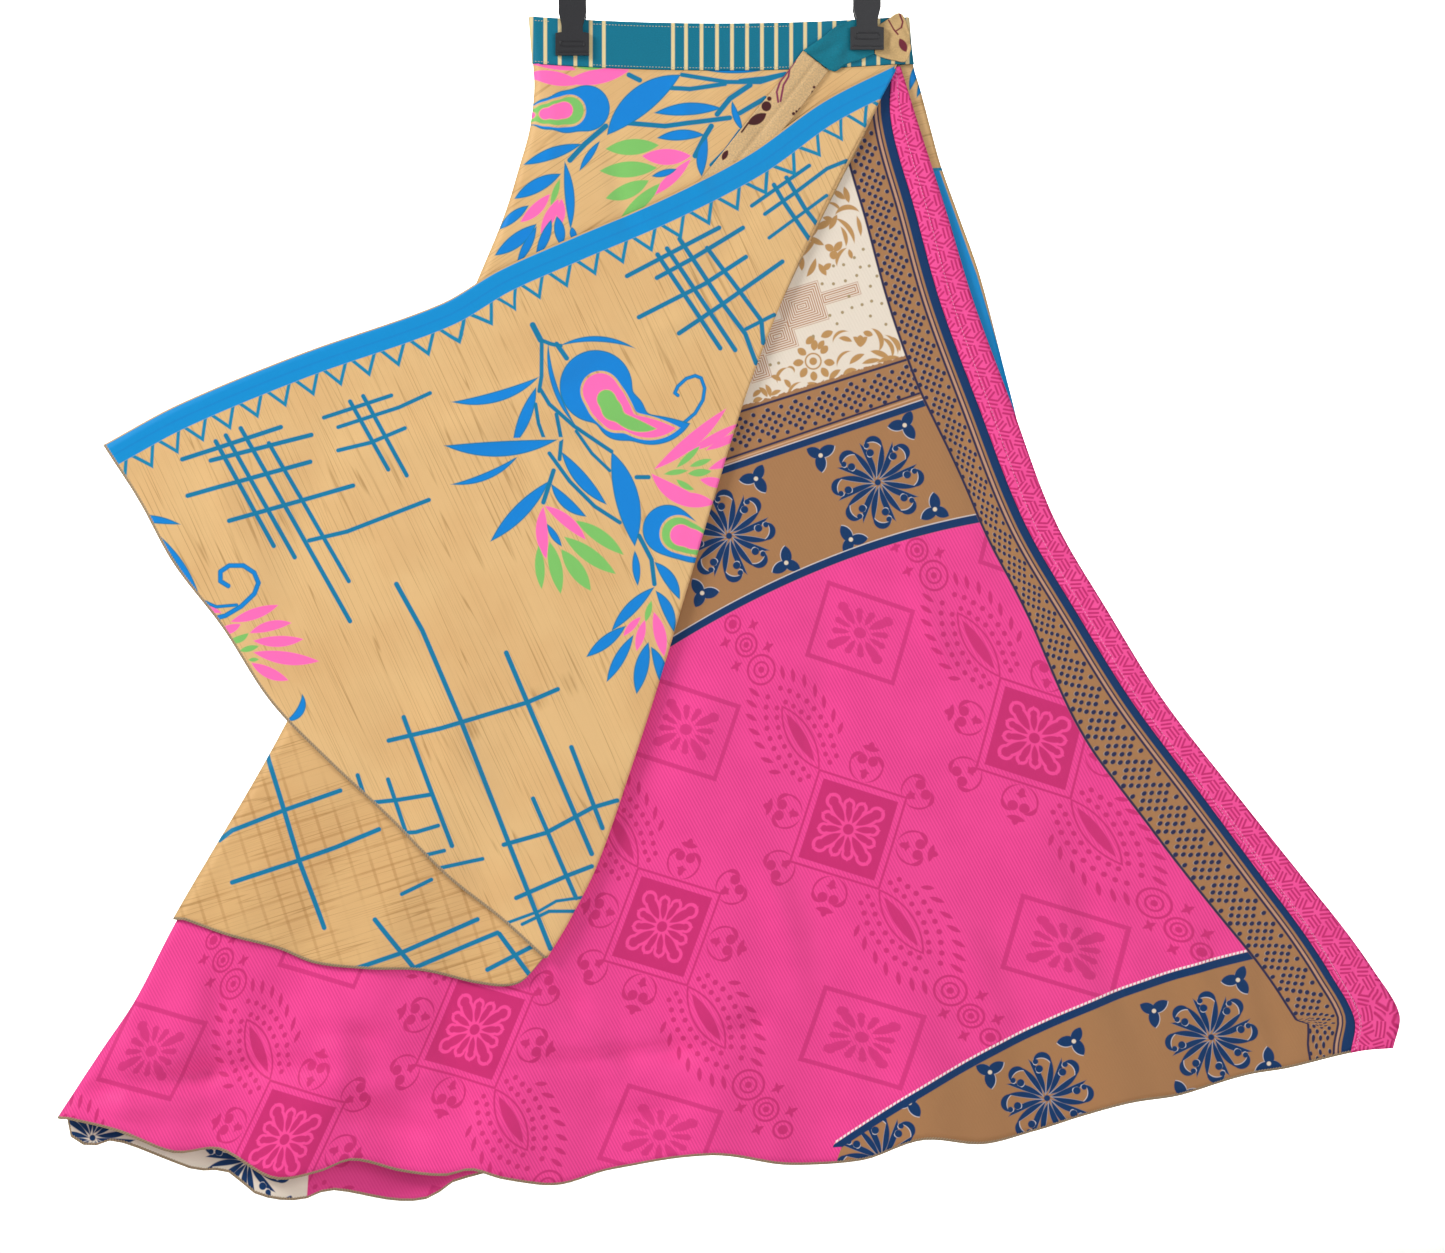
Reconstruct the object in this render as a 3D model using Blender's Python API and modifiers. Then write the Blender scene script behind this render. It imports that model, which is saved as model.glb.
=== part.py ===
"""Reversible two-layer wrap skirt, hung flat from two clips, its front corner folded across.

Metres, +Z up. The origin is the seat of the hanger's hook, where it rests on a rail. The wearer's
front faces -Y. Each layer of the skirt is one wall of cloth that runs round the folded garment, and
its sections are worked out from the tables of sizes below.
"""

import math
from collections import namedtuple

import bmesh
import bpy
from mathutils import Matrix, Vector

MM = 0.001

# Cloth and how far its layers lie apart, in millimetres
WALL = 1.0
SEAM_GAP = 0.3
PITCH_AT_WAIST = 2.6
PITCH_AT_KNEE = 4.0
PITCH_AT_HEM = 6.5
KNEE_DROP = 780.0
HEM_DROP = 950.0

# Places of the layers in the stack, counted in pitches from the outer front, away from the viewer
FLAP, OUTER_FRONT, INNER_FRONT, OUTER_UNDER, INNER_UNDER, INNER_BACK, OUTER_BACK = (
    -1.25, 0.0, 1.0, 2.0, 3.0, 4.0, 5.0,
)
BAND_FRONT, BAND_UNDER, BAND_BACK = 0.5, 2.5, 4.5

# Where the garment hangs under the hook: its waist below the origin, its outer front before it
HOOK_TO_WAIST = 155.0
FRONT_DEPTH = -6.5

# Waistband, in millimetres. Drops are measured down from its upper edge
BAND_HEIGHT = 39.7
BAND_WALL = 2.4
BAND_RIGHT_END = 155.0
BAND_UNDER_END = -100.0
BAND_SAG = 6.0
BAND_HALF_WIDTH = 160.0
WAIST_SEAM = 40.0

# Hidden edge of the underwrap, at the waist and lower down
UNDER_EDGE_TOP = -95.0
UNDER_EDGE_SPREAD = -0.12
UNDER_RISE = 0.05

# Left and right outline of the folded skirt: its silhouette at each drop
Side = namedtuple("Side", "drop left right")
SIDES = (
    Side(-20, -160, 158),
    Side(0, -159, 159),
    Side(40, -156, 163),
    Side(61, -155, 169),
    Side(95, -159, 178),
    Side(124, -167, 186),
    Side(166, -180, 201),
    Side(217, -201, 219),
    Side(313, -243, 244),
    Side(439, -297, 278),
    Side(586, -360, 349),
    Side(758, -459, 456),
    Side(826, -495, 488),
    Side(872, -527, 513),
    Side(930, -566, 540),
    Side(990, -600, 565),
)

# Front edge of the inner layer, with the width of the facing sewn on it
Edge = namedtuple("Edge", "drop across facing")
FRONT_EDGE = (
    Edge(38, 151, 6),
    Edge(87, 166, 22),
    Edge(162, 190, 26),
    Edge(238, 213, 28),
    Edge(322, 244, 28),
    Edge(423, 282, 26),
    Edge(502, 328, 26),
    Edge(574, 373, 26),
    Edge(650, 432, 28),
    Edge(725, 492, 32),
    Edge(765, 524, 34),
    Edge(800, 549, 36),
    Edge(837, 571, 38),
    Edge(866, 566, 36),
)

# Line along which the outer layer is folded over to the front
Crease = namedtuple("Crease", "drop across")
FOLD_LINE = (
    Crease(40, 151),
    Crease(76, 132),
    Crease(128, 104),
    Crease(181, 78),
    Crease(245, 50),
    Crease(316, 23),
    Crease(406, -5),
    Crease(477, -26),
    Crease(557, -50),
    Crease(628, -73),
    Crease(711, -102),
    Crease(759, -126),
    Crease(789, -144),
)

# Free front edge of the outer layer, as the folded corner carries it across
Border = namedtuple("Border", "share across drop")
FLAP_EDGE = (
    Border(0.00, 152, 39),
    Border(0.10, 87, 72),
    Border(0.20, 25, 116),
    Border(0.31, -46, 153),
    Border(0.42, -123, 186),
    Border(0.51, -184, 213),
    Border(0.59, -234, 242),
    Border(0.76, -352, 284),
    Border(0.90, -453, 326),
    Border(1.00, -516, 360),
)

# Hems: how far each lies below the straight line between its ends, at each share of the way across
Dip = namedtuple("Dip", "share below")
OUTER_FRONT_HEM = (
    Dip(0.0, 0), Dip(0.12, 9), Dip(0.26, 16), Dip(0.36, 25), Dip(0.51, 25),
    Dip(0.66, 22), Dip(0.82, 28), Dip(0.93, 24), Dip(1.0, 0),
)
FLAP_HEM = (
    Dip(0.0, 0), Dip(0.1, 8), Dip(0.2, 20), Dip(0.32, 24), Dip(0.45, 34),
    Dip(0.57, 30), Dip(0.7, 22), Dip(0.82, 17), Dip(0.92, 6), Dip(1.0, 0),
)
INNER_FRONT_HEM = (
    Dip(0.0, 0), Dip(0.04, 13), Dip(0.08, 33), Dip(0.115, 33), Dip(0.155, 58), Dip(0.19, 55),
    Dip(0.215, 47), Dip(0.25, 59), Dip(0.285, 64), Dip(0.305, 60), Dip(0.33, 69), Dip(0.37, 77),
    Dip(0.41, 67), Dip(0.485, 58), Dip(0.545, 71), Dip(0.6, 70), Dip(0.645, 55), Dip(0.69, 62),
    Dip(0.73, 54), Dip(0.765, 43), Dip(0.8, 34), Dip(0.84, 30), Dip(0.89, 16), Dip(0.92, 12),
    Dip(0.975, 1), Dip(1.0, 0),
)
BACK_HEM = (
    Dip(0.0, 17), Dip(0.015, 26), Dip(0.035, 22), Dip(0.075, 40), Dip(0.1, 52), Dip(0.127, 55),
    Dip(0.15, 74), Dip(0.186, 81), Dip(0.21, 75), Dip(0.26, 88), Dip(0.29, 87), Dip(0.31, 74),
    Dip(0.38, 60), Dip(0.52, 42), Dip(0.7, 28), Dip(0.88, 8), Dip(1.0, -6),
)
OUTER_BACK_HEM = (
    Dip(0.0, 0), Dip(0.15, 30), Dip(0.35, 56), Dip(0.55, 58), Dip(0.75, 40), Dip(0.9, 16), Dip(1.0, 0),
)
OUTER_LEFT_END, OUTER_FOLD_END, OUTER_RIGHT_END = 758.0, 789.0, 742.0
INNER_LEFT_END, INNER_FRONT_END, INNER_RIGHT_END = 926.0, 866.0, 862.0

# Soft folds that fall from the waist and open towards the hem: where each stands at the hem, its
# half width, how far it goes back (or, with a minus, comes forward) and the drop where it starts
Fold = namedtuple("Fold", "foot half_width depth start")
FOLDS = (
    Fold(-510, 42, -5, 520),
    Fold(-432, 40, 6, 500),
    Fold(-352, 46, -7, 450),
    Fold(-268, 44, 7, 520),
    Fold(-186, 48, -7, 560),
    Fold(-100, 46, 6, 600),
    Fold(-12, 52, -7, 540),
    Fold(84, 52, 7, 560),
    Fold(176, 46, -7, 600),
    Fold(262, 46, 6, 620),
    Fold(346, 46, -6, 560),
    Fold(430, 44, 5, 600),
    Fold(506, 40, -3, 640),
)
SOFT_BELLY = 5.0

# Tie: a flattened tube of cloth, in three stretches that show
TIE_WALL = 1.0
TIE_LIFT = 1.6
TIE_FACE = -1.6
TieEnd = namedtuple("TieEnd", "across drop half_width")
TIE_GOLD = (
    TieEnd(81, 38, 13.5),
    TieEnd(66, 58, 13.5),
    TieEnd(42, 88, 14.0),
    TieEnd(16, 120, 13.5),
    TieEnd(-10, 152, 13.0),
    TieEnd(-34, 184, 12.5),
)
Corner = namedtuple("Corner", "across drop")
TIE_TEAL = (
    Corner(70.7, 29.3), Corner(87, 18), Corner(100, 8), Corner(112, 4), Corner(129, 5),
    Corner(130, 32), Corner(118, 37), Corner(106, 41), Corner(98, 46.5), Corner(92.2, 45.5),
)
TIE_ROOT = (
    Corner(130.6, 10), Corner(140, 4), Corner(150, -2), Corner(155, 1), Corner(159, 12),
    Corner(161, 28), Corner(157, 38), Corner(147, 37.5), Corner(137, 35), Corner(130.6, 32),
)

# Hanger, in millimetres
BAR_RADIUS = 4.0
BAR_HALF_LENGTH = 180.0
BAR_DROP = 118.0
HOOK_WIRE_RADIUS = 2.0
HOOK_BEND_RADIUS = 20.0
HOOK_TURN_START, HOOK_TURN_END = math.radians(-35), math.radians(228)
HOOK_STEPS, HOOK_SHOULDER = 22, 12.0
# Each clip's place, the drop of its jaw and how far before the outer front its jaw grips
Clip = namedtuple("Clip", "name across jaw_top front")
CLIPS = (
    Clip("clip_left", -123.0, 15.0, -0.4),
    Clip("clip_right", 124.0, 10.5, -1.9),
)
JAW_HEIGHT, JAW_HALF_WIDTH, NECK_HALF_WIDTH, STRAP_HALF_WIDTH = 18.5, 14.0, 8.8, 11.5
JAW_SHOULDER, NECK_HEIGHT, STRAP_FLARE = 1.0, 6.0, 17.0
CLIP_LEG = 4.0
CLIP_BACK = 13.5
CLIP_HEAD = 7.0
CLIP_ROOF = 8.0
BAR_HOLE = 4.4


def clear_scene():
    for obj in list(bpy.data.objects):
        bpy.data.objects.remove(obj, do_unlink=True)


def read_off(table, key, column, at):
    """The table's column at a place between its rows, on a smooth curve through them."""
    places = [getattr(row, key) for row in table]
    values = [getattr(row, column) for row in table]
    if at <= places[0]:
        return values[0]
    if at >= places[-1]:
        return values[-1]
    i = max(n for n in range(len(places) - 1) if places[n] <= at)
    span = places[i + 1] - places[i]
    t = (at - places[i]) / span

    def slope(n):
        low, high = max(n - 1, 0), min(n + 1, len(places) - 1)
        return (values[high] - values[low]) / (places[high] - places[low])

    start, end = slope(i) * span, slope(i + 1) * span
    return (
        (2 * t**3 - 3 * t**2 + 1) * values[i]
        + (t**3 - 2 * t**2 + t) * start
        + (3 * t**2 - 2 * t**3) * values[i + 1]
        + (t**3 - t**2) * end
    )


def blend(a, b, t):
    return a + (b - a) * t


def smooth_step(t):
    t = min(max(t, 0.0), 1.0)
    return t * t * (3 - 2 * t)


def band_sag(across):
    """How much lower the waist hangs between the clips than at its ends."""
    return BAND_SAG * max(0.0, 1 - (across / BAND_HALF_WIDTH) ** 2)


def pitch(drop):
    upper = blend(PITCH_AT_WAIST, PITCH_AT_KNEE, smooth_step(drop / KNEE_DROP))
    return blend(upper, PITCH_AT_HEM, smooth_step((drop - KNEE_DROP) / (HEM_DROP - KNEE_DROP)))


def fold_depth(across, drop):
    """How far the shared folds push every layer back at this place."""
    left = read_off(SIDES, "drop", "left", drop)
    right = read_off(SIDES, "drop", "right", drop)
    hem_left = read_off(SIDES, "drop", "left", HEM_DROP)
    hem_right = read_off(SIDES, "drop", "right", HEM_DROP)
    share = (across - left) / (right - left)
    foot = blend(hem_left, hem_right, share)
    depth = -SOFT_BELLY * math.sin(math.pi * min(max(share, 0), 1)) * smooth_step(drop / HEM_DROP)
    for fold in FOLDS:
        off = (foot - fold.foot) / fold.half_width
        grown = max(0.0, (drop - fold.start) / (HEM_DROP - fold.start)) ** 1.5
        if abs(off) < 1:
            depth += fold.depth * grown * math.cos(off * math.pi / 2) ** 2
    return depth


def place(across, drop, layer, out=0.0):
    """A point of a layer, from millimetres across and down; out moves it towards the viewer."""
    depth = FRONT_DEPTH + fold_depth(across, drop) + layer * pitch(drop) - out
    return Vector((across, depth, -(HOOK_TO_WAIST + drop))) * MM


def turn(across, drop, from_layer, to_layer, outward, steps):
    """The points between two layers round a fold whose outermost point lies at across."""
    radius = abs(to_layer - from_layer) / 2 * pitch(drop)
    middle = (from_layer + to_layer) / 2
    points = []
    for step in range(1, steps):
        angle = math.pi * step / steps
        reach = radius * math.sin(angle)
        layer = middle + (from_layer - to_layer) / 2 * math.cos(angle)
        points.append(place(across - outward * (radius - reach), drop, layer))
    return points


def stretch(start, end, hem, amount, layer, steps, sag=0.0):
    """A row of points between two places on one layer, both ends included."""
    points = []
    for step in range(steps + 1):
        share = step / steps
        across = blend(start[0], end[0], share)
        below = read_off(hem, "share", "below", share) * amount
        drop = blend(start[1], end[1], share) + below + band_sag(across) * sag
        points.append(place(across, drop, layer))
    return points


def radius_at(drop, layers):
    return layers / 2 * pitch(drop)


def rows_down(count, bunch=1.0):
    """Shares of the way from waist to hem, closer together near the hem when bunch is over 1."""
    return [1 - (1 - n / count) ** bunch for n in range(count + 1)]


def outer_rows(rows, flap, front, back, under, arc):
    """Sections of the outer layer: flap, fold, front, left turn, back, right turn, underwrap."""
    sections = []
    for v in rows_down(rows):
        left_drop = blend(WAIST_SEAM, OUTER_LEFT_END, v)
        fold_drop = blend(FOLD_LINE[0].drop, OUTER_FOLD_END, v)
        right_drop = blend(WAIST_SEAM, OUTER_RIGHT_END, v)
        hem, sag = v**2, (1 - v) ** 3
        left = read_off(SIDES, "drop", "left", left_drop)
        right = read_off(SIDES, "drop", "right", right_drop)
        crease = read_off(FOLD_LINE, "drop", "across", fold_drop)
        turn_in = radius_at(fold_drop, OUTER_FRONT - FLAP)
        left_in = radius_at(left_drop, OUTER_BACK - OUTER_FRONT)
        right_in = radius_at(right_drop, OUTER_BACK - OUTER_UNDER)
        front_end = (crease - turn_in, fold_drop)
        front_start = (left + left_in, left_drop)
        section = []
        if v > 0:
            free = (read_off(FLAP_EDGE, "share", "across", v), read_off(FLAP_EDGE, "share", "drop", v))
            section += flap_row(free, front_end, hem, flap)
            section += turn(crease, fold_drop, FLAP, OUTER_FRONT, 1, arc)
        else:
            section += [None] * (flap + arc)
        section += stretch(front_end, front_start, tuple(Dip(1 - d.share, d.below)
                           for d in reversed(OUTER_FRONT_HEM)), hem, OUTER_FRONT, front, sag)
        section += turn(left, left_drop, OUTER_FRONT, OUTER_BACK, -1, arc + 1)
        section += stretch(front_start, (right - right_in, right_drop), OUTER_BACK_HEM, hem,
                           OUTER_BACK, back, sag)
        section += turn(right, right_drop, OUTER_BACK, OUTER_UNDER, 1, arc)
        section += under_row(right - right_in, right_drop, OUTER_UNDER, under, sag)
        sections.append(section)
    return sections


def flap_row(free, crease, amount, steps):
    """A row of the folded corner, bowed outwards where its hem swings."""
    start, end = Vector(free), Vector(crease)
    along = end - start
    square = Vector((-along.y, along.x)).normalized()
    points = []
    for step in range(steps + 1):
        share = step / steps
        spot = start + along * share + square * read_off(FLAP_HEM, "share", "below", share) * amount
        points.append(place(spot.x, spot.y, FLAP))
    return points


def under_row(start_across, start_drop, layer, steps, sag):
    """A row of the hidden underwrap, which rises a little so that it stays behind the front."""
    end = UNDER_EDGE_TOP + UNDER_EDGE_SPREAD * start_drop
    points = []
    for step in range(steps + 1):
        across = blend(start_across, end, step / steps)
        drop = start_drop - UNDER_RISE * (start_drop - WAIST_SEAM) * step / steps
        points.append(place(across, drop + band_sag(across) * sag, layer))
    return points


def inner_ends(v):
    """Where a section of the inner layer ends at its front edge, its left turn and its right turn."""
    front_drop = blend(WAIST_SEAM, INNER_FRONT_END, v)
    left_drop = blend(WAIST_SEAM, INNER_LEFT_END, v)
    right_drop = blend(WAIST_SEAM, INNER_RIGHT_END, v)
    inset = (INNER_FRONT - OUTER_FRONT) * pitch(left_drop)
    front = (read_off(FRONT_EDGE, "drop", "across", front_drop), front_drop)
    left = (read_off(SIDES, "drop", "left", left_drop) + inset, left_drop)
    right = (read_off(SIDES, "drop", "right", right_drop) - inset, right_drop)
    return front, left, right


def inner_front_point(v, share, out=0.0):
    """A point of the inner layer's front; share 0 is its free edge, 1 its left turn."""
    front, left, _ = inner_ends(v)
    left_in = left[0] + radius_at(left[1], INNER_BACK - INNER_FRONT)
    across = blend(front[0], left_in, share)
    below = read_off(INNER_FRONT_HEM, "share", "below", 1 - share) * v**3
    drop = blend(front[1], left[1], share) + below + band_sag(across) * (1 - v) ** 3
    return place(across, drop, INNER_FRONT, out)


def inner_rows(rows, front, back, under, arc):
    """Sections of the inner layer: front, left turn, back, right turn, underwrap."""
    sections = []
    for v in rows_down(rows, 1.25):
        _, left, right = inner_ends(v)
        left_in = radius_at(left[1], INNER_BACK - INNER_FRONT)
        right_in = radius_at(right[1], INNER_BACK - INNER_UNDER)
        sag = (1 - v) ** 3
        section = [inner_front_point(v, step / front) for step in range(front + 1)]
        section += turn(left[0], left[1], INNER_FRONT, INNER_BACK, -1, arc)
        section += stretch((left[0] + left_in, left[1]), (right[0] - right_in, right[1]), BACK_HEM,
                           v**3, INNER_BACK, back, sag)
        section += turn(right[0], right[1], INNER_BACK, INNER_UNDER, 1, arc)
        section += under_row(right[0] - right_in, right[1], INNER_UNDER, under, sag)
        sections.append(section)
    return sections


def facing_rows(rows, steps):
    """Sections of the facing, from the inner front's own points moved out to the viewer."""
    sections = []
    for n in range(1, rows + 1):
        v = n / rows
        front, left, _ = inner_ends(v)
        width = read_off(FRONT_EDGE, "drop", "facing", front[1])
        share = width / (front[0] - left[0])
        out = WALL + SEAM_GAP
        sections.append([inner_front_point(v, share * k / steps, out) for k in range(steps + 1)])
    return sections


def band_rows(front, back, under, arc):
    """Upper and lower edge of the waistband, round the folded skirt."""
    sections = []
    for drop in (0.0, BAND_HEIGHT / 2, BAND_HEIGHT):
        left = read_off(SIDES, "drop", "left", drop)
        right = read_off(SIDES, "drop", "right", drop)
        left_in = radius_at(drop, BAND_BACK - BAND_FRONT)
        right_in = radius_at(drop, BAND_BACK - BAND_UNDER)
        flat = (Dip(0.0, 0), Dip(1.0, 0))
        section = stretch((BAND_RIGHT_END, drop), (left + left_in, drop), flat, 0, BAND_FRONT, front, 1)
        section += turn(left, drop, BAND_FRONT, BAND_BACK, -1, arc)
        section += stretch((left + left_in, drop), (right - right_in, drop), flat, 0, BAND_BACK, back, 1)
        section += turn(right, drop, BAND_BACK, BAND_UNDER, 1, arc)
        section += stretch((right - right_in, drop), (BAND_UNDER_END, drop), flat, 0, BAND_UNDER, under, 1)
        sections.append(section)
    return sections


def tie_rows():
    """Sections across the gold stretch of the tie, square to the way it runs."""
    sections = []
    for i, end in enumerate(TIE_GOLD):
        before, after = TIE_GOLD[max(i - 1, 0)], TIE_GOLD[min(i + 1, len(TIE_GOLD) - 1)]
        way = Vector((after.across - before.across, after.drop - before.drop)).normalized()
        square = Vector((-way.y, way.x))
        section = []
        for side in (-1, -0.5, 0, 0.5, 1):
            spot = Vector((end.across, end.drop)) + square * side * end.half_width
            section.append(place(spot.x, spot.y, OUTER_FRONT, TIE_LIFT))
        sections.append(section)
    return sections


def wall_from_sections(name, sections, thickness, material):
    """A closed wall of even thickness through sections of matching points; None leaves a notch."""
    mesh = bpy.data.meshes.new(name)
    grid = bmesh.new()
    made = [[None if point is None else grid.verts.new(point) for point in row] for row in sections]
    for upper, lower in zip(made, made[1:]):
        for n in range(len(upper) - 1):
            corners = (upper[n], lower[n], lower[n + 1], upper[n + 1])
            if None not in corners:
                grid.faces.new(corners)
    loose = [vert for vert in grid.verts if not vert.link_faces]
    bmesh.ops.delete(grid, geom=loose, context="VERTS")
    grid.to_mesh(mesh)
    grid.free()
    mesh.shade_smooth()
    obj = add_object(name, mesh, material)
    wall = obj.modifiers.new("wall", "SOLIDIFY")
    wall.thickness = thickness * MM
    wall.offset = 0.0
    wall.use_even_offset = True
    return obj


def flat_piece(name, corners, thickness, face, material):
    """A flat patch of cloth with the given outline; face is how far its face is past the outer front."""
    curve = bpy.data.curves.new(name, "CURVE")
    curve.dimensions = "2D"
    curve.fill_mode = "BOTH"
    curve.extrude = thickness * MM / 2
    line = curve.splines.new("POLY")
    line.points.add(len(corners) - 1)
    for point, corner in zip(line.points, corners):
        point.co = (corner.across * MM, -(HOOK_TO_WAIST + corner.drop) * MM, 0, 1)
    line.use_cyclic_u = True
    guide = bpy.data.objects.new(name + "_outline", curve)
    bpy.context.scene.collection.objects.link(guide)
    upright = Matrix.Rotation(math.radians(90), 4, "X")
    depth = FRONT_DEPTH + face + thickness / 2
    guide.matrix_world = Matrix.Translation((0, depth * MM, 0)) @ upright
    bpy.context.view_layer.update()
    return made_solid(name, guide, material)


def made_solid(name, guide, material):
    """The mesh of a filled curve, welded, in world coordinates; the curve itself is removed."""
    graph = bpy.context.evaluated_depsgraph_get()
    mesh = bpy.data.meshes.new_from_object(guide.evaluated_get(graph))
    mesh.name = name
    shape = bmesh.new()
    shape.from_mesh(mesh)
    bmesh.ops.remove_doubles(shape, verts=shape.verts, dist=1e-6)
    shape.transform(guide.matrix_world)
    bmesh.ops.recalc_face_normals(shape, faces=shape.faces)
    shape.to_mesh(mesh)
    shape.free()
    bpy.data.objects.remove(guide, do_unlink=True)
    return add_object(name, mesh, material)


def add_object(name, mesh, material):
    obj = bpy.data.objects.new(name, mesh)
    mesh.materials.clear()
    mesh.materials.append(material)
    PARTS.objects.link(obj)
    return obj


def finish_material(name, colour, roughness, metallic=0.0):
    material = bpy.data.materials.new(name)
    material.use_nodes = True
    shader = material.node_tree.nodes["Principled BSDF"]
    shader.inputs["Base Color"].default_value = (*colour, 1)
    shader.inputs["Roughness"].default_value = roughness
    shader.inputs["Metallic"].default_value = metallic
    material.diffuse_color = (*colour, 1)
    return material


def round_bar(name, material):
    """The hanger's bar, a round rod across both clips."""
    mesh = bpy.data.meshes.new(name)
    rod = bmesh.new()
    bmesh.ops.create_cone(
        rod, cap_ends=True, segments=16, radius1=BAR_RADIUS * MM, radius2=BAR_RADIUS * MM,
        depth=2 * BAR_HALF_LENGTH * MM, matrix=Matrix.Rotation(math.radians(90), 4, "Y"),
    )
    rod.to_mesh(mesh)
    rod.free()
    bar = add_object(name, mesh, material)
    bar.location = Vector((0, 0, -BAR_DROP)) * MM
    return bar


def hook(name, material):
    """The hanger's hook: a bent wire whose inner top is the origin, ending just above the bar."""
    curve = bpy.data.curves.new(name, "CURVE")
    curve.dimensions = "3D"
    curve.bevel_depth = HOOK_WIRE_RADIUS * MM
    curve.bevel_resolution = 2
    curve.use_fill_caps = True
    centre = Vector((0, 0, HOOK_WIRE_RADIUS - HOOK_BEND_RADIUS))
    stem_foot = Vector((0, 0, -BAR_DROP + BAR_RADIUS + SEAM_GAP))
    points = []
    for n in range(HOOK_STEPS + 1):
        angle = blend(HOOK_TURN_START, HOOK_TURN_END, n / HOOK_STEPS)
        points.append(centre + HOOK_BEND_RADIUS * Vector((math.cos(angle), 0, math.sin(angle))))
    shoulder = Vector((0, 0, points[-1].z - HOOK_SHOULDER))
    points += [points[-1].lerp(shoulder, 0.55), shoulder, shoulder.lerp(stem_foot, 0.5), stem_foot]
    line = curve.splines.new("POLY")
    line.points.add(len(points) - 1)
    for point, spot in zip(line.points, points):
        point.co = (*(spot * MM), 1)
    guide = bpy.data.objects.new(name + "_line", curve)
    bpy.context.scene.collection.objects.link(guide)
    bpy.context.view_layer.update()
    wire = made_solid(name, guide, material)
    wire.data.shade_smooth()
    return wire


def prism(name, outline, depth_axis, low, high):
    """A block with the given outline, from low to high along X or Y; the outline runs in the rest."""
    block = bmesh.new()
    ends = []
    for level in (low, high):
        corners = [(level, a, b) if depth_axis == "X" else (a, level, b) for a, b in outline]
        ends.append([block.verts.new(Vector(corner) * MM) for corner in corners])
    block.faces.new(ends[0])
    block.faces.new(ends[1])
    bmesh.ops.bridge_loops(block, edges=[e for end in ends for e in loop_edges(block, end)])
    bmesh.ops.recalc_face_normals(block, faces=block.faces)
    mesh = bpy.data.meshes.new(name)
    block.to_mesh(mesh)
    block.free()
    return mesh


def loop_edges(shape, verts):
    return [shape.edges.get(pair) for pair in zip(verts, verts[1:] + verts[:1])]


def clip(spec, material):
    """A clip: a strap round the bar with a jaw before and behind the waistband."""
    top = -(BAR_DROP - CLIP_HEAD)
    jaw_top = -(HOOK_TO_WAIST + spec.jaw_top)
    jaw_foot = jaw_top - JAW_HEIGHT
    roof = -(HOOK_TO_WAIST - CLIP_ROOF)
    grip_front, grip_back = FRONT_DEPTH + spec.front, FRONT_DEPTH + CLIP_BACK
    front, back = grip_front - CLIP_LEG, grip_back + CLIP_LEG
    side = [
        (front, jaw_foot), (front, top), (back, top), (back, jaw_foot),
        (grip_back, jaw_foot), (grip_back, roof), (grip_front, roof), (grip_front, jaw_foot),
    ]
    half = [
        (JAW_HALF_WIDTH, jaw_foot - JAW_SHOULDER), (JAW_HALF_WIDTH, jaw_top),
        (NECK_HALF_WIDTH, jaw_top + JAW_SHOULDER), (NECK_HALF_WIDTH, jaw_top + NECK_HEIGHT),
        (STRAP_HALF_WIDTH, jaw_top + STRAP_FLARE), (STRAP_HALF_WIDTH, top + JAW_SHOULDER),
    ]
    face = [(spec.across + a, b) for a, b in half] + [(spec.across - a, b) for a, b in reversed(half)]
    reach = JAW_HALF_WIDTH + CLIP_LEG
    body = prism(spec.name, side, "X", spec.across - reach, spec.across + reach)
    obj = add_object(spec.name, body, material)
    stencil = prism("front_outline", face, "Y", front - CLIP_LEG, back + CLIP_LEG)
    boolean(obj, "front outline", helper(spec.name + "_front_outline", stencil), "INTERSECT")
    hole = bmesh.new()
    bmesh.ops.create_cone(
        hole, cap_ends=True, segments=16, radius1=BAR_HOLE * MM, radius2=BAR_HOLE * MM,
        depth=4 * reach * MM, matrix=Matrix.Rotation(math.radians(90), 4, "Y"),
    )
    hole_mesh = bpy.data.meshes.new("bar_hole")
    hole.to_mesh(hole_mesh)
    hole.free()
    cutter = helper(spec.name + "_bar_hole", hole_mesh)
    cutter.location = Vector((spec.across, 0, -BAR_DROP)) * MM
    boolean(obj, "bar hole", cutter, "DIFFERENCE")
    return obj


def helper(name, mesh):
    obj = bpy.data.objects.new(name, mesh)
    obj.hide_render = True
    obj.display_type = "WIRE"
    CUTTERS.objects.link(obj)
    return obj


def boolean(obj, name, other, operation):
    cut = obj.modifiers.new(name, "BOOLEAN")
    cut.operation = operation
    cut.object = other


def new_collection(name):
    collection = bpy.data.collections.new(name)
    bpy.context.scene.collection.children.link(collection)
    return collection


clear_scene()
PARTS = new_collection("wrap_skirt")
CUTTERS = new_collection("cutters")
CUTTERS.hide_render = True

GOLD_SILK = finish_material("gold_printed_silk", (0.70, 0.45, 0.19), 0.5)
PINK_SILK = finish_material("pink_printed_silk", (0.86, 0.06, 0.34), 0.55)
FACING_PINK = finish_material("pink_facing_silk", (0.80, 0.05, 0.25), 0.6)
TEAL_SILK = finish_material("teal_striped_silk", (0.0, 0.24, 0.24), 0.45)
BLACK_PLASTIC = finish_material("black_clip_plastic", (0.012, 0.012, 0.014), 0.4)
STEEL_WIRE = finish_material("steel_hook_wire", (0.6, 0.6, 0.62), 0.3, 1.0)

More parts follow.
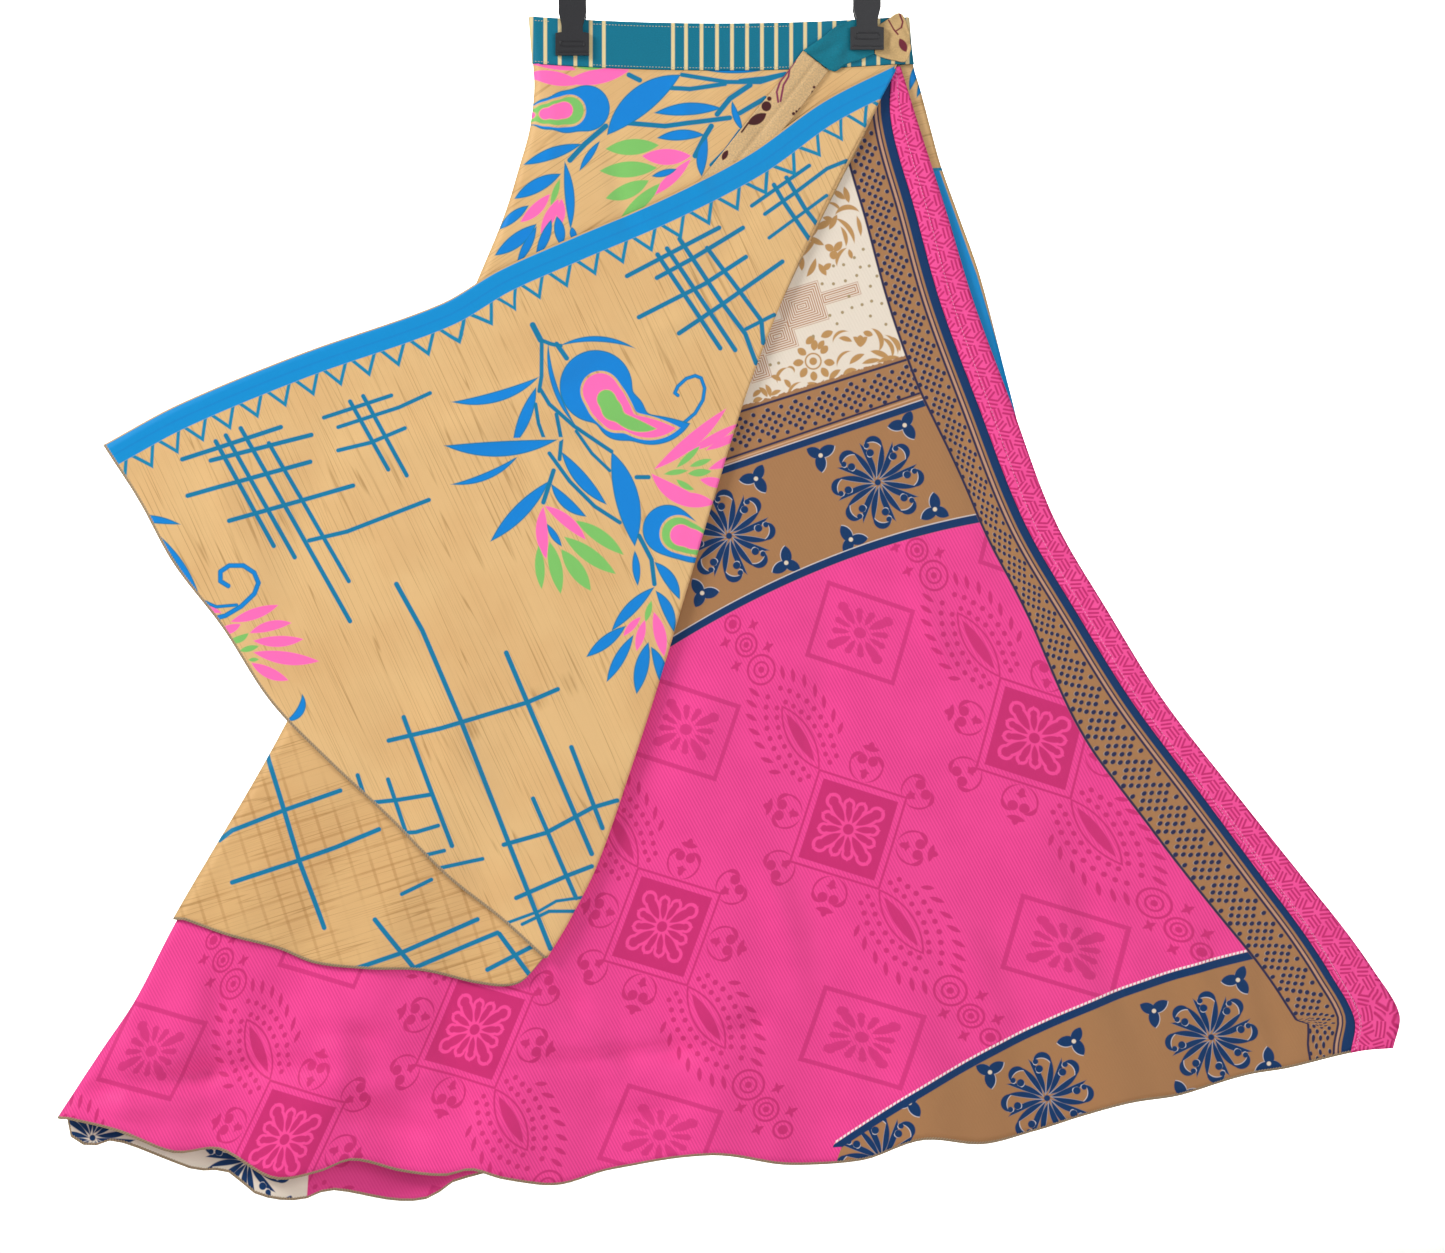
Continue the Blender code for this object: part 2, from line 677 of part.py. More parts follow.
wall_from_sections("outer_layer", outer_rows(16, 14, 14, 26, 8, 3), WALL, GOLD_SILK)
wall_from_sections("inner_layer", inner_rows(20, 34, 30, 8, 3), WALL, PINK_SILK)
wall_from_sections("front_edge_facing", facing_rows(26, 2), WALL, FACING_PINK)
wall_from_sections("waistband", band_rows(10, 10, 8, 4), BAND_WALL, TEAL_SILK)
wall_from_sections("tie_gold_stretch", tie_rows(), TIE_WALL, GOLD_SILK)
flat_piece("tie_teal_stretch", TIE_TEAL, TIE_WALL, TIE_FACE, TEAL_SILK)
flat_piece("tie_root_wrap", TIE_ROOT, TIE_WALL, TIE_FACE, GOLD_SILK)
round_bar("hanger_bar", BLACK_PLASTIC)
hook("hanger_hook", STEEL_WIRE)
for spec in CLIPS:
    clip(spec, BLACK_PLASTIC)
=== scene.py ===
# %% [markdown]
# # Dressing a reversible wrap skirt
#
# The real object is a skirt made from two old silk saris. One long panel is the gold layer, a longer
# panel in pink is the layer under it, and both are sewn into one teal waistband. Two clips hold the
# band, the free corner of the gold layer is folded across the front, and the pink layer shows below.
#
# The CAD model has the true shape of each piece, with few sections. Each cell here builds one piece
# again with cloth's fine form: the same walls with more sections, creases, hems and stitches. The
# prints are drawn by shader nodes from small tables in millimetres.

import math

import bmesh
import bpy
import numpy as np
from mathutils import Matrix, Vector


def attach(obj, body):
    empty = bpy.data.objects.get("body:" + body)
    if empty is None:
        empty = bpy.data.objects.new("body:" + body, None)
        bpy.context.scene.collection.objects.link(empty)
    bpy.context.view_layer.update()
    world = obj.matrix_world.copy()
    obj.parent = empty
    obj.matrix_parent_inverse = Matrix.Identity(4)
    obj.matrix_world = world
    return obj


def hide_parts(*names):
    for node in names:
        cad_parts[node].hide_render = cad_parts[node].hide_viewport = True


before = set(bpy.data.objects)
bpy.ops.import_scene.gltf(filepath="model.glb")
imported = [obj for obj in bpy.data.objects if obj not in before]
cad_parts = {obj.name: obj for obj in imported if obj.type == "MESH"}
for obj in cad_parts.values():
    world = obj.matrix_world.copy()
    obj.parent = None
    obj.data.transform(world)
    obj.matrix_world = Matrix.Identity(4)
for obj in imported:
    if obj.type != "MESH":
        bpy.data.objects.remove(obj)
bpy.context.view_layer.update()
MM = 0.001

# %% [markdown]
# ## The sizes that the cloth hangs by
#
# A hung skirt is a stack of walls. The sizes below are the CAD model's own, in millimetres across
# from the hook and down from the waistband's upper edge. Keeping one set of sizes means that each
# fine piece lies on its solid, so the picture and the collision model agree.

# %% Sizes of the hanging skirt
HOOK_TO_WAIST, FRONT_DEPTH = 155.0, -6.5
FLAP, OUTER_FRONT, INNER_FRONT, OUTER_UNDER, INNER_UNDER, INNER_BACK, OUTER_BACK = (
    -1.25, 0.0, 1.0, 2.0, 3.0, 4.0, 5.0,
)
BAND_FRONT, BAND_UNDER, BAND_BACK = 0.5, 2.5, 4.5
PITCHES = ((0, 2.6), (780, 4.0), (950, 6.5))  # (drop, how far apart the layers lie)
WAIST_SEAM, HEM_DROP, BAND_HEIGHT, BAND_SAG, BAND_HALF_WIDTH = 40.0, 950.0, 39.7, 6.0, 160.0
OUTER_LEFT_END, OUTER_FOLD_END, OUTER_RIGHT_END = 758.0, 789.0, 742.0
INNER_LEFT_END, INNER_FRONT_END, INNER_RIGHT_END = 926.0, 866.0, 862.0

SIDES = (  # (drop, left outline, right outline)
    (-20, -160, 158), (0, -159, 159), (40, -156, 163), (61, -155, 169), (95, -159, 178), (124, -167, 186),
    (166, -180, 201), (217, -201, 219), (313, -243, 244), (439, -297, 278), (586, -360, 349), (758, -459, 456),
    (826, -495, 488), (872, -527, 513), (930, -566, 540), (990, -600, 565),
)
FRONT_EDGE = (  # (drop, across, width of the facing)
    (38, 151, 6), (87, 166, 22), (162, 190, 26), (238, 213, 28), (322, 244, 28), (423, 282, 26), (502, 328, 26),
    (574, 373, 26), (650, 432, 28), (725, 492, 32), (765, 524, 34), (800, 549, 36), (837, 571, 38),
    (866, 566, 36),
)
FOLD_LINE = (  # (drop, across) of the line where the gold corner turns back
    (40, 151), (76, 132), (128, 104), (181, 78), (245, 50), (316, 23), (406, -5), (477, -26), (557, -50),
    (628, -73), (711, -102), (759, -126), (789, -144),
)
FLAP_EDGE = (  # (share of the way down, across, drop) of the corner's free edge
    (0.0, 152, 39), (0.1, 87, 72), (0.2, 25, 116), (0.31, -46, 153), (0.42, -123, 186), (0.51, -184, 213),
    (0.59, -234, 242), (0.76, -352, 284), (0.9, -453, 326), (1.0, -516, 360),
)
# Hems: (share of the way across, how far below the straight line between the ends)
OUTER_FRONT_HEM = (
    (0.0, 0), (0.07, 24), (0.18, 28), (0.34, 22), (0.49, 25), (0.64, 25), (0.74, 16), (0.88, 9), (1.0, 0),
)
FLAP_HEM = (
    (0.0, 0), (0.1, 8), (0.2, 20), (0.32, 24), (0.45, 34), (0.57, 30), (0.7, 22), (0.82, 17), (0.92, 6),
    (1.0, 0),
)
INNER_FRONT_HEM = (
    (0.0, 0), (0.04, 13), (0.08, 33), (0.115, 33), (0.155, 58), (0.19, 55), (0.215, 47), (0.25, 59),
    (0.285, 64), (0.305, 60), (0.33, 69), (0.37, 77), (0.41, 67), (0.485, 58), (0.545, 71), (0.6, 70),
    (0.645, 55), (0.69, 62), (0.73, 54), (0.765, 43), (0.8, 34), (0.84, 30), (0.89, 16), (0.92, 12), (0.975, 1),
    (1.0, 0),
)
BACK_HEM = (
    (0.0, 17), (0.015, 26), (0.035, 22), (0.075, 40), (0.1, 52), (0.127, 55), (0.15, 74), (0.186, 81),
    (0.21, 75), (0.26, 88), (0.29, 87), (0.31, 74), (0.38, 60), (0.52, 42), (0.7, 28), (0.88, 8), (1.0, -6),
)
OUTER_BACK_HEM = ((0.0, 0), (0.15, 30), (0.35, 56), (0.55, 58), (0.75, 40), (0.9, 16), (1.0, 0))
FOLDS = (  # (where it stands at the hem, half width, depth away from the viewer, drop where it starts)
    (-510, 42, -5, 520), (-432, 40, 6, 500), (-352, 46, -7, 450), (-268, 44, 7, 520), (-186, 48, -7, 560),
    (-100, 46, 6, 600), (-12, 52, -7, 540), (84, 52, 7, 560), (176, 46, -7, 600), (262, 46, 6, 620),
    (346, 46, -6, 560), (430, 44, 5, 600), (506, 40, -3, 640),
)
SOFT_BELLY = 5.0
TIE_LIFT = 1.6
SILK, BAND_CLOTH = 0.8, 2.3  # how thick the walls are
BAND_START, BAND_END, UNDERWRAP_END = 155.0, -100.0, -95.0  # across, where band and underwrap end
UNDERWRAP_SLANT, UNDERWRAP_RISE = 0.12, 0.05  # for each mm down, how far its end goes on and its hem rises


def read_off(table, column, at):
    """The table's column at places between its rows, which the first column keys, on a smooth curve."""
    rows = np.array(table, float)
    keys, values = rows[:, 0], rows[:, column]
    at = np.clip(np.asarray(at, float), keys[0], keys[-1])
    i = np.clip(np.searchsorted(keys, at, side="right") - 1, 0, len(keys) - 2)
    low = np.maximum(np.arange(len(keys)) - 1, 0)
    high = np.minimum(np.arange(len(keys)) + 1, len(keys) - 1)
    slopes = (values[high] - values[low]) / (keys[high] - keys[low])
    span = keys[i + 1] - keys[i]
    t = (at - keys[i]) / span
    return (
        (2 * t**3 - 3 * t**2 + 1) * values[i]
        + (t**3 - 2 * t**2 + t) * slopes[i] * span
        + (3 * t**2 - 2 * t**3) * values[i + 1]
        + (t**3 - t**2) * slopes[i + 1] * span
    )


def smooth_step(t):
    t = np.clip(t, 0, 1)
    return t * t * (3 - 2 * t)


def sagging(across):
    """How far the band sags between the clips."""
    return BAND_SAG * np.clip(1 - (across / BAND_HALF_WIDTH) ** 2, 0, None)


def pitch(drop):
    """How far apart the layers lie, easing between the sizes in PITCHES."""
    (_, top), (knee_drop, knee), (hem_drop, hem) = PITCHES
    upper = top + (knee - top) * smooth_step(drop / knee_drop)
    return upper + (hem - upper) * smooth_step((drop - knee_drop) / (hem_drop - knee_drop))


print("waist", SIDES[1][1:], "mm; folds", len(FOLDS))

# %% [markdown]
# ## Soft folds and creases
#
# Cloth that hangs from a narrow band and opens to a wide hem falls in soft folds, all layers
# together. On top of these the photo shows smaller creases: where the corner was folded over, where
# the hem drags, and where the cloth was packed. Each is placed as a line with its own width,
# depth and bow, because a repeated pattern would look like corrugated board.

# %% Folds that all layers share, and listed creases
# (across and drop of one end, of the other end, half width, depth away from the viewer, bow)
SHARED_CREASES = (
    (-60, 820, -20, 880, 12, 4.9, 4), (-128, 842, -80, 900, 10, -4.3, -5), (-10, 858, 40, 838, 9, 4.6, 3),
    (-140, 868, -40, 858, 8, -3.6, 3), (110, 800, 150, 900, 13, 4, 8), (200, 760, 236, 880, 16, -4.6, -8),
    (300, 700, 352, 850, 15, 4.3, 10), (30, 700, 70, 842, 14, -4, -9), (-230, 830, -205, 930, 13, 5.5, 6),
    (-330, 820, -318, 920, 14, -5.2, -6), (-420, 800, -436, 910, 12, 4.9, -5),
    (-490, 850, -500, 920, 10, -4.3, 4), (390, 760, 430, 860, 11, -3.6, 5), (455, 800, 476, 870, 9, 3.3, 3),
    (-90, 100, -70, 190, 9, 1.71, 4), (-30, 60, -12, 150, 8, -1.52, 3), (40, 50, 30, 110, 8, 1.52, -3),
    (-140, 60, -146, 150, 7, -1.33, -3), (196, 330, 246, 480, 9, 2.4, 6), (160, 420, 200, 560, 12, -2.7, 8),
    (90, 480, 70, 640, 16, 3, -8), (0, 560, -30, 690, 18, -3.3, 8), (-480, 900, -415, 876, 9, 4.8, 4),
    (-522, 928, -428, 926, 9, 3.8, 3), (-300, 900, -236, 886, 8, -3.5, 3), (-160, 806, -110, 842, 9, 3.8, -4),
    (330, 640, 420, 700, 12, -2.9, 5), (-545, 908, -327, 880, 9, 5.5, -6), (-343, 854, -284, 860, 10, 5, -3),
    (-179, 884, -19, 866, 8, 5.5, -4), (-322, 908, -238, 938, 12, 5.5, 4), (-95, 928, -15, 904, 10, 4.2, 4),
)
FLAP_CREASES = (
    (-40, 330, -300, 366, 16, -2.72, 10), (60, 120, -20, 250, 12, 1.38, 6),
    (-90, 260, -200, 330, 12, -2.04, -8), (-310, 330, -360, 500, 20, 1.88, 12),
    (-420, 380, -380, 480, 14, -2.21, 6), (-240, 560, -170, 700, 18, -2.72, 8),
    (-330, 540, -250, 600, 14, 1.5, -6), (-120, 520, -60, 640, 15, 1.38, 9),
    (-30, 420, -70, 560, 13, -2.04, -8), (-170, 300, -150, 420, 16, 1.12, 8),
    (-220, 680, -160, 770, 12, 1.62, 5), (-60, 640, -110, 740, 11, -1.87, -4),
    (-470, 340, -490, 400, 9, 1.38, 3), (10, 240, -60, 270, 9, -1.36, 3), (-280, 440, -200, 520, 15, -1.7, 9),
)
BACK_CREASES = (
    (-100, 80, -160, 420, 22, 1.6, 14), (60, 90, 90, 460, 24, -1.6, 12), (0, 300, -40, 640, 26, 1.8, -16),
    (180, 260, 260, 620, 24, 1.5, 14), (-240, 380, -330, 680, 26, -1.8, -14), (120, 560, 160, 760, 20, 1.5, 9),
    (-90, 620, -120, 800, 18, -1.4, 7), (300, 560, 380, 740, 18, -1.3, 9),
)


def crease_depth(creases, across, drop):
    """How far the listed creases push the cloth back: soft troughs, and ridges with a minus."""
    depth = np.zeros_like(across)
    for x1, d1, x2, d2, half_width, deep, bow in creases:
        length = math.hypot(x2 - x1, d2 - d1)
        way = ((x2 - x1) / length, (d2 - d1) / length)
        along = (across - x1) * way[0] + (drop - d1) * way[1]
        share = along / length
        aside = (drop - d1) * way[0] - (across - x1) * way[1]
        aside = aside - bow * (1 - (2 * np.clip(share, 0, 1) - 1) ** 2)
        ends = smooth_step((share + 0.25) / 0.5) * smooth_step((1.25 - share) / 0.5)
        depth += deep * ends * np.exp(-((aside / half_width) ** 2)) * (1 + 0.25 * np.sin(share * 7 + x1))
    return depth


def fold_depth(across, drop):
    """How far the shared folds push every layer back, as in the CAD model."""
    left, right = read_off(SIDES, 1, drop), read_off(SIDES, 2, drop)
    hem_left, hem_right = read_off(SIDES, 1, HEM_DROP), read_off(SIDES, 2, HEM_DROP)
    share = (across - left) / (right - left)
    foot = hem_left + (hem_right - hem_left) * share
    depth = -SOFT_BELLY * np.sin(math.pi * np.clip(share, 0, 1)) * smooth_step(drop / HEM_DROP)
    for stands, half_width, deep, start in FOLDS:
        off = np.clip((foot - stands) / half_width, -1, 1)
        grown = np.clip((drop - start) / (HEM_DROP - start), 0, None) ** 1.5
        depth += deep * grown * np.cos(off * math.pi / 2) ** 2
    return depth


def place(across, drop, layer, out=0.0):
    """Points of a layer in metres, with the folds and creases that all layers share."""
    depth = FRONT_DEPTH + fold_depth(across, drop) + layer * pitch(drop) - out
    depth = depth + crease_depth(SHARED_CREASES, across, drop)
    return np.stack([across, depth, -(HOOK_TO_WAIST + drop)], axis=-1) * MM


def creased(stretch):
    """The points of a stretch with its own creases, which die out before its seams and turns."""
    _, across, drop, layer, own = stretch
    share = np.linspace(0, 1, across.shape[1])[None, :]
    held = smooth_step(9 * share) * smooth_step(9 * (1 - share))
    return place(across, drop, layer, out=-held * crease_depth(own, across, drop))


print("creases: shared, corner, back", [len(rows) for rows in (SHARED_CREASES, FLAP_CREASES, BACK_CREASES)])

# %% [markdown]
# ## A wall of cloth from its stretches
#
# Each layer is one panel that runs round the folded skirt: corner, front, turn, back, turn, underwrap.
# A stretch is a grid of places on one layer. The stretches are set side by side, a flat grid is
# laid over them, and Solidify gives the cloth its thickness, so hem and edge are one closed shell.


# %% Stretches, turns and the wall made of them
def from_line(points, across, drop):
    """How far each place lies beside a line, to the left of the way that it runs, and how far along."""
    way = np.gradient(points, axis=0)
    way /= np.hypot(*way.T)[:, None]
    along = np.concatenate([[0], np.cumsum(np.hypot(*np.diff(points, axis=0).T))])
    beside, reached = np.empty_like(across), np.empty_like(across)
    for row in range(across.shape[0]):
        off_x = across[row][:, None] - points[:, 0]
        off_y = drop[row][:, None] - points[:, 1]
        n = np.argmin(off_x**2 + off_y**2, axis=1)
        x, y = off_x[np.arange(len(n)), n], off_y[np.arange(len(n)), n]
        beside[row] = x * way[n, 1] - y * way[n, 0]
        reached[row] = along[n] + x * way[n, 0] + y * way[n, 1]
    return beside, reached


DOWN = np.arange(30, 1000, 2.0)
FACING_LINE = np.stack([read_off(FRONT_EDGE, 1, DOWN) - read_off(FRONT_EDGE, 2, DOWN), DOWN], axis=1)[::-1]
SHARES = np.linspace(0, 1, 500)
FLAP_LINE = np.stack([read_off(FLAP_EDGE, n, SHARES) for n in (1, 2)], axis=1)


def straight(start, end, hem, amount, layer, steps, sag):
    """A stretch between two ends for each row: grids of across, drop and layer."""
    share = np.linspace(0, 1, steps + 1)[None, :]
    across = start[0][:, None] + (end[0] - start[0])[:, None] * share
    below = read_off(hem, 1, share) * amount[:, None]
    drop = start[1][:, None] + (end[1] - start[1])[:, None] * share + below
    return across, drop + sagging(across) * sag[:, None], np.full_like(across, layer)


def turned(across, drop, from_layer, to_layer, outward, steps):
    """The half round of cloth between two layers, where the panel turns at a side."""
    angle = math.pi * np.arange(1, steps)[None, :] / steps
    radius = (abs(to_layer - from_layer) / 2 * pitch(drop))[:, None]
    layer = (from_layer + to_layer) / 2 + (from_layer - to_layer) / 2 * np.cos(angle)
    spots = across[:, None] - outward * radius * (1 - np.sin(angle))
    return spots, drop[:, None] + 0 * spots, layer + 0 * spots


def cloth_wall(name, stretches, thickness, border=FACING_LINE, notch=0):
    """A closed shell over stretches of (slot, across, drop, layer, own creases). Its print map holds
    across and drop in metres, its border map how far beside and along its border's line, and its hem map
    how far along and above its lower edge."""
    across, drop = (np.concatenate([s[n] for s in stretches], axis=1) for n in (1, 2))
    aside, along = from_line(border, across, drop)
    points = np.concatenate([creased(stretch) for stretch in stretches], axis=1)
    slots = np.concatenate([np.full(s[1].shape[1], s[0]) for s in stretches])
    rows, columns = across.shape
    grid = bmesh.new()
    bmesh.ops.create_grid(grid, x_segments=columns - 1, y_segments=rows - 1, size=1)
    print_map, border_map, hem_map = (grid.loops.layers.uv.new(name) for name in ("print", "border", "hem"))
    steps = np.linalg.norm(np.diff(points, axis=0), axis=2)
    up = np.concatenate([np.cumsum(steps[::-1], axis=0)[::-1], np.zeros((1, columns))])
    level = np.concatenate([[0], np.cumsum(np.linalg.norm(np.diff(points[-1], axis=0), axis=1))])
    spot = {}
    for vert in grid.verts:
        column, row = round((vert.co.x + 1) / 2 * (columns - 1)), round((1 - vert.co.y) / 2 * (rows - 1))
        spot[vert] = row, column
        vert.co = points[row, column]
    for face in grid.faces:
        face.material_index = int(slots[max(spot[vert][1] for vert in face.verts)])
        for loop in face.loops:
            row, column = spot[loop.vert]
            loop[print_map].uv = across[row, column] * MM, drop[row, column] * MM
            loop[border_map].uv = aside[row, column] * MM, along[row, column] * MM
            loop[hem_map].uv = level[column], up[row, column]
    top = [f for f in grid.faces if all(spot[v][0] <= 1 and spot[v][1] <= notch for v in f.verts)]
    if notch:
        bmesh.ops.delete(grid, geom=top, context="FACES")
    obj = solid_of(name, grid, smooth=True)
    wall = obj.modifiers.new("cloth thickness", "SOLIDIFY")
    wall.thickness, wall.offset, wall.use_even_offset = thickness * MM, 0.0, True
    return obj


def placed(name, data):
    """The object that shows a mesh, a light or a camera in the scene."""
    obj = bpy.data.objects.new(name, data)
    bpy.context.scene.collection.objects.link(obj)
    return obj


def solid_of(name, made, smooth):
    """The bmesh as an object."""
    for face in made.faces:
        face.smooth = smooth
    mesh = bpy.data.meshes.new(name)
    made.to_mesh(mesh)
    made.free()
    return placed(name, mesh)


def soften(obj, width):
    """Rounds the object's sharp edges by this many mm."""
    soft = obj.modifiers.new("soft edges", "BEVEL")
    soft.width, soft.segments, soft.limit_method, soft.angle_limit = width * MM, 2, "ANGLE", math.radians(50)


def count_of(obj):
    """How many triangles the finished piece has."""
    mesh = obj.evaluated_get(bpy.context.evaluated_depsgraph_get()).to_mesh()
    mesh.calc_loop_triangles()
    return len(mesh.loop_triangles)


print("lines for the borders:", len(FACING_LINE), "and", len(FLAP_LINE), "points")


# %% [markdown]
# ## The gold layer
#
# The outer panel of printed silk runs from its folded corner round the front, the left side, the back
# and the right side to the edge of the underwrap. The corner is turned over along FOLD_LINE, so the
# same cloth lies twice there. Rows close up near the hem, where the cloth waves most.

# %% Outer layer
def ends_of_outer(v):
    drops = [WAIST_SEAM + (end - WAIST_SEAM) * v for end in (OUTER_LEFT_END, OUTER_RIGHT_END)]
    fold_drop = FOLD_LINE[0][0] + (OUTER_FOLD_END - FOLD_LINE[0][0]) * v
    left, right = read_off(SIDES, 1, drops[0]), read_off(SIDES, 2, drops[1])
    return (read_off(FOLD_LINE, 1, fold_drop), fold_drop), (left, drops[0]), (right, drops[1])


def under_end(right, right_in, rows_sag, layer, steps):
    """The hidden underwrap: it rises a little, so that it stays behind the front."""
    share = np.linspace(0, 1, steps + 1)[None, :]
    start = (right[0] - right_in)[:, None]
    across = start + (UNDERWRAP_END - UNDERWRAP_SLANT * right[1][:, None] - start) * share
    drop = right[1][:, None] - UNDERWRAP_RISE * (right[1][:, None] - WAIST_SEAM) * share
    return across, drop + sagging(across) * rows_sag[:, None], np.full_like(across, layer)


def flap_rows(free, crease, amount, steps):
    """The folded corner, bowed outwards where its hem swings."""
    share = np.linspace(0, 1, steps + 1)[None, :]
    along = np.stack([crease[0] - free[0], crease[1] - free[1]])
    length = np.hypot(*along)
    square = np.stack([-along[1], along[0]]) / np.maximum(length, 1e-6)
    bow = read_off(FLAP_HEM, 1, share) * amount[:, None]
    across = free[0][:, None] + along[0][:, None] * share + square[0][:, None] * bow
    drop = free[1][:, None] + along[1][:, None] * share + square[1][:, None] * bow
    return across, drop, np.full_like(across, FLAP)


def outer_stretches(rows, flap, front, back, under, arc):
    v = np.linspace(0, 1, rows + 1)
    fold, left, right = ends_of_outer(v)
    hem, sag = v**2, (1 - v) ** 3
    front_end = fold[0] - (OUTER_FRONT - FLAP) / 2 * pitch(fold[1]), fold[1]
    front_start = left[0] + (OUTER_BACK - OUTER_FRONT) / 2 * pitch(left[1]), left[1]
    right_in = (OUTER_BACK - OUTER_UNDER) / 2 * pitch(right[1])
    free = read_off(FLAP_EDGE, 1, v), read_off(FLAP_EDGE, 2, v)
    return [
        (0, *flap_rows(free, front_end, hem, flap), FLAP_CREASES),
        (0, *turned(*fold, FLAP, OUTER_FRONT, 1, arc), ()),
        (1, *straight(front_end, front_start, OUTER_FRONT_HEM, hem, OUTER_FRONT, front, sag), ()),
        (1, *turned(*left, OUTER_FRONT, OUTER_BACK, -1, arc + 3), ()),
        (2, *straight(front_start, (right[0] - right_in, right[1]), OUTER_BACK_HEM, hem, OUTER_BACK, back, sag),
         BACK_CREASES),
        (2, *turned(*right, OUTER_BACK, OUTER_UNDER, 1, arc), ()),
        (3, *under_end(right, right_in, sag, OUTER_UNDER, under), ()),
    ]


FLAP_STEPS, TURN_STEPS = 84, 8
OUTER_STRETCHES = outer_stretches(150, FLAP_STEPS, 62, 100, 50, TURN_STEPS)
outer = cloth_wall("outer_gold_silk", OUTER_STRETCHES, SILK, FLAP_LINE, notch=FLAP_STEPS + TURN_STEPS)
print("outer layer:", count_of(outer), "triangles")

# %% [markdown]
# ## The pink layer and its facing
#
# The panel under the gold one is longer and wider, and its front edge stays in place, so the whole
# border of the sari shows along it. A strip of basket-weave silk is sewn on that edge as a facing.


# %% Inner layer
def ends_of_inner(v):
    drops = [WAIST_SEAM + (end - WAIST_SEAM) * v for end in (INNER_FRONT_END, INNER_LEFT_END, INNER_RIGHT_END)]
    inset = (INNER_FRONT - OUTER_FRONT) * pitch(drops[1])
    return (
        (read_off(FRONT_EDGE, 1, drops[0]), drops[0]),
        (read_off(SIDES, 1, drops[1]) + inset, drops[1]),
        (read_off(SIDES, 2, drops[2]) - inset, drops[2]),
    )


def inner_stretches(rows, front_steps, back, under, arc):
    v = np.linspace(0, 1, rows + 1)
    front, left, right = ends_of_inner(v)
    hem, sag = v**3, (1 - v) ** 3
    left_in = (INNER_BACK - INNER_FRONT) / 2 * pitch(left[1])
    right_in = (INNER_BACK - INNER_UNDER) / 2 * pitch(right[1])
    mirrored = tuple((1 - share, below) for share, below in reversed(INNER_FRONT_HEM))
    start = left[0] + left_in, left[1]
    return [
        (0, *straight(front, start, mirrored, hem, INNER_FRONT, front_steps, sag), ()),
        (0, *turned(*left, INNER_FRONT, INNER_BACK, -1, arc), ()),
        (1, *straight(start, (right[0] - right_in, right[1]), BACK_HEM, hem, INNER_BACK, back, sag), ()),
        (1, *turned(*right, INNER_BACK, INNER_UNDER, 1, arc - 2), ()),
        (1, *under_end(right, right_in, sag, INNER_UNDER, under), ()),
    ]


inner = cloth_wall("inner_pink_silk", inner_stretches(150, 150, 94, 40, 9), SILK)
print("inner layer:", count_of(inner), "triangles")


# %% Facing along the inner front edge
def facing_stretch(rows, steps):
    v = np.linspace(0.002, 1, rows + 1)
    front, left, _ = ends_of_inner(v)
    left_in = left[0] + (INNER_BACK - INNER_FRONT) / 2 * pitch(left[1])
    width = read_off(FRONT_EDGE, 2, front[1])
    share = (width / (front[0] - left[0]))[:, None] * np.linspace(0, 1, steps + 1)[None, :]
    across = front[0][:, None] + (left_in - front[0])[:, None] * share
    below = read_off(INNER_FRONT_HEM, 1, 1 - share) * (v**3)[:, None]
    drop = front[1][:, None] + (left[1] - front[1])[:, None] * share + below
    drop = drop + sagging(across) * ((1 - v) ** 3)[:, None]
    # The strip puffs a little between its stitch lines, and each stitch pulls it in
    puff = 0.5 * np.sin(math.pi * np.linspace(0, 1, steps + 1))[None, :]
    return across, drop, puff + 0.12 * np.sin(drop / 3.1 + across / 17)


FACING_LIFT = 1.3
facing_across, facing_drop, facing_puff = facing_stretch(260, 8)
facing_layer = INNER_FRONT - (FACING_LIFT + facing_puff) / pitch(facing_drop)
facing = cloth_wall("facing_silk", [(0, facing_across, facing_drop, facing_layer, ())], SILK)
print("facing:", count_of(facing), "triangles")

# %% [markdown]
# ## Waistband and tie
#
# The band is a strip of striped teal silk folded over the top of both panels, so it is thicker and
# stiffer than they are. The tie is a flat tube of cloth sewn to the band's end.


# %% Waistband
def band_stretches(rows, front, back, under, arc):
    drop = np.linspace(0, BAND_HEIGHT, rows + 1)
    left, right = read_off(SIDES, 1, drop), read_off(SIDES, 2, drop)
    left_in = (BAND_BACK - BAND_FRONT) / 2 * pitch(drop)
    right_in = (BAND_BACK - BAND_UNDER) / 2 * pitch(drop)
    ones, level = np.ones_like(drop), ((0, 0), (1, 0))
    start, end = (left + left_in, drop), (right - right_in, drop)
    return [
        (0, *straight((BAND_START * ones, drop), start, level, ones, BAND_FRONT, front, ones), ()),
        (0, *turned(left, drop, BAND_FRONT, BAND_BACK, -1, arc), ()),
        (0, *straight(start, end, level, ones, BAND_BACK, back, ones), ()),
        (0, *turned(right, drop, BAND_BACK, BAND_UNDER, 1, arc), ()),
        (0, *straight(end, (BAND_END * ones, drop), level, ones, BAND_UNDER, under, ones), ()),
    ]


band = cloth_wall("striped_waistband", band_stretches(12, 110, 90, 60, 8), BAND_CLOTH)
soften(band, 0.7)
print("waistband:", count_of(band), "triangles")


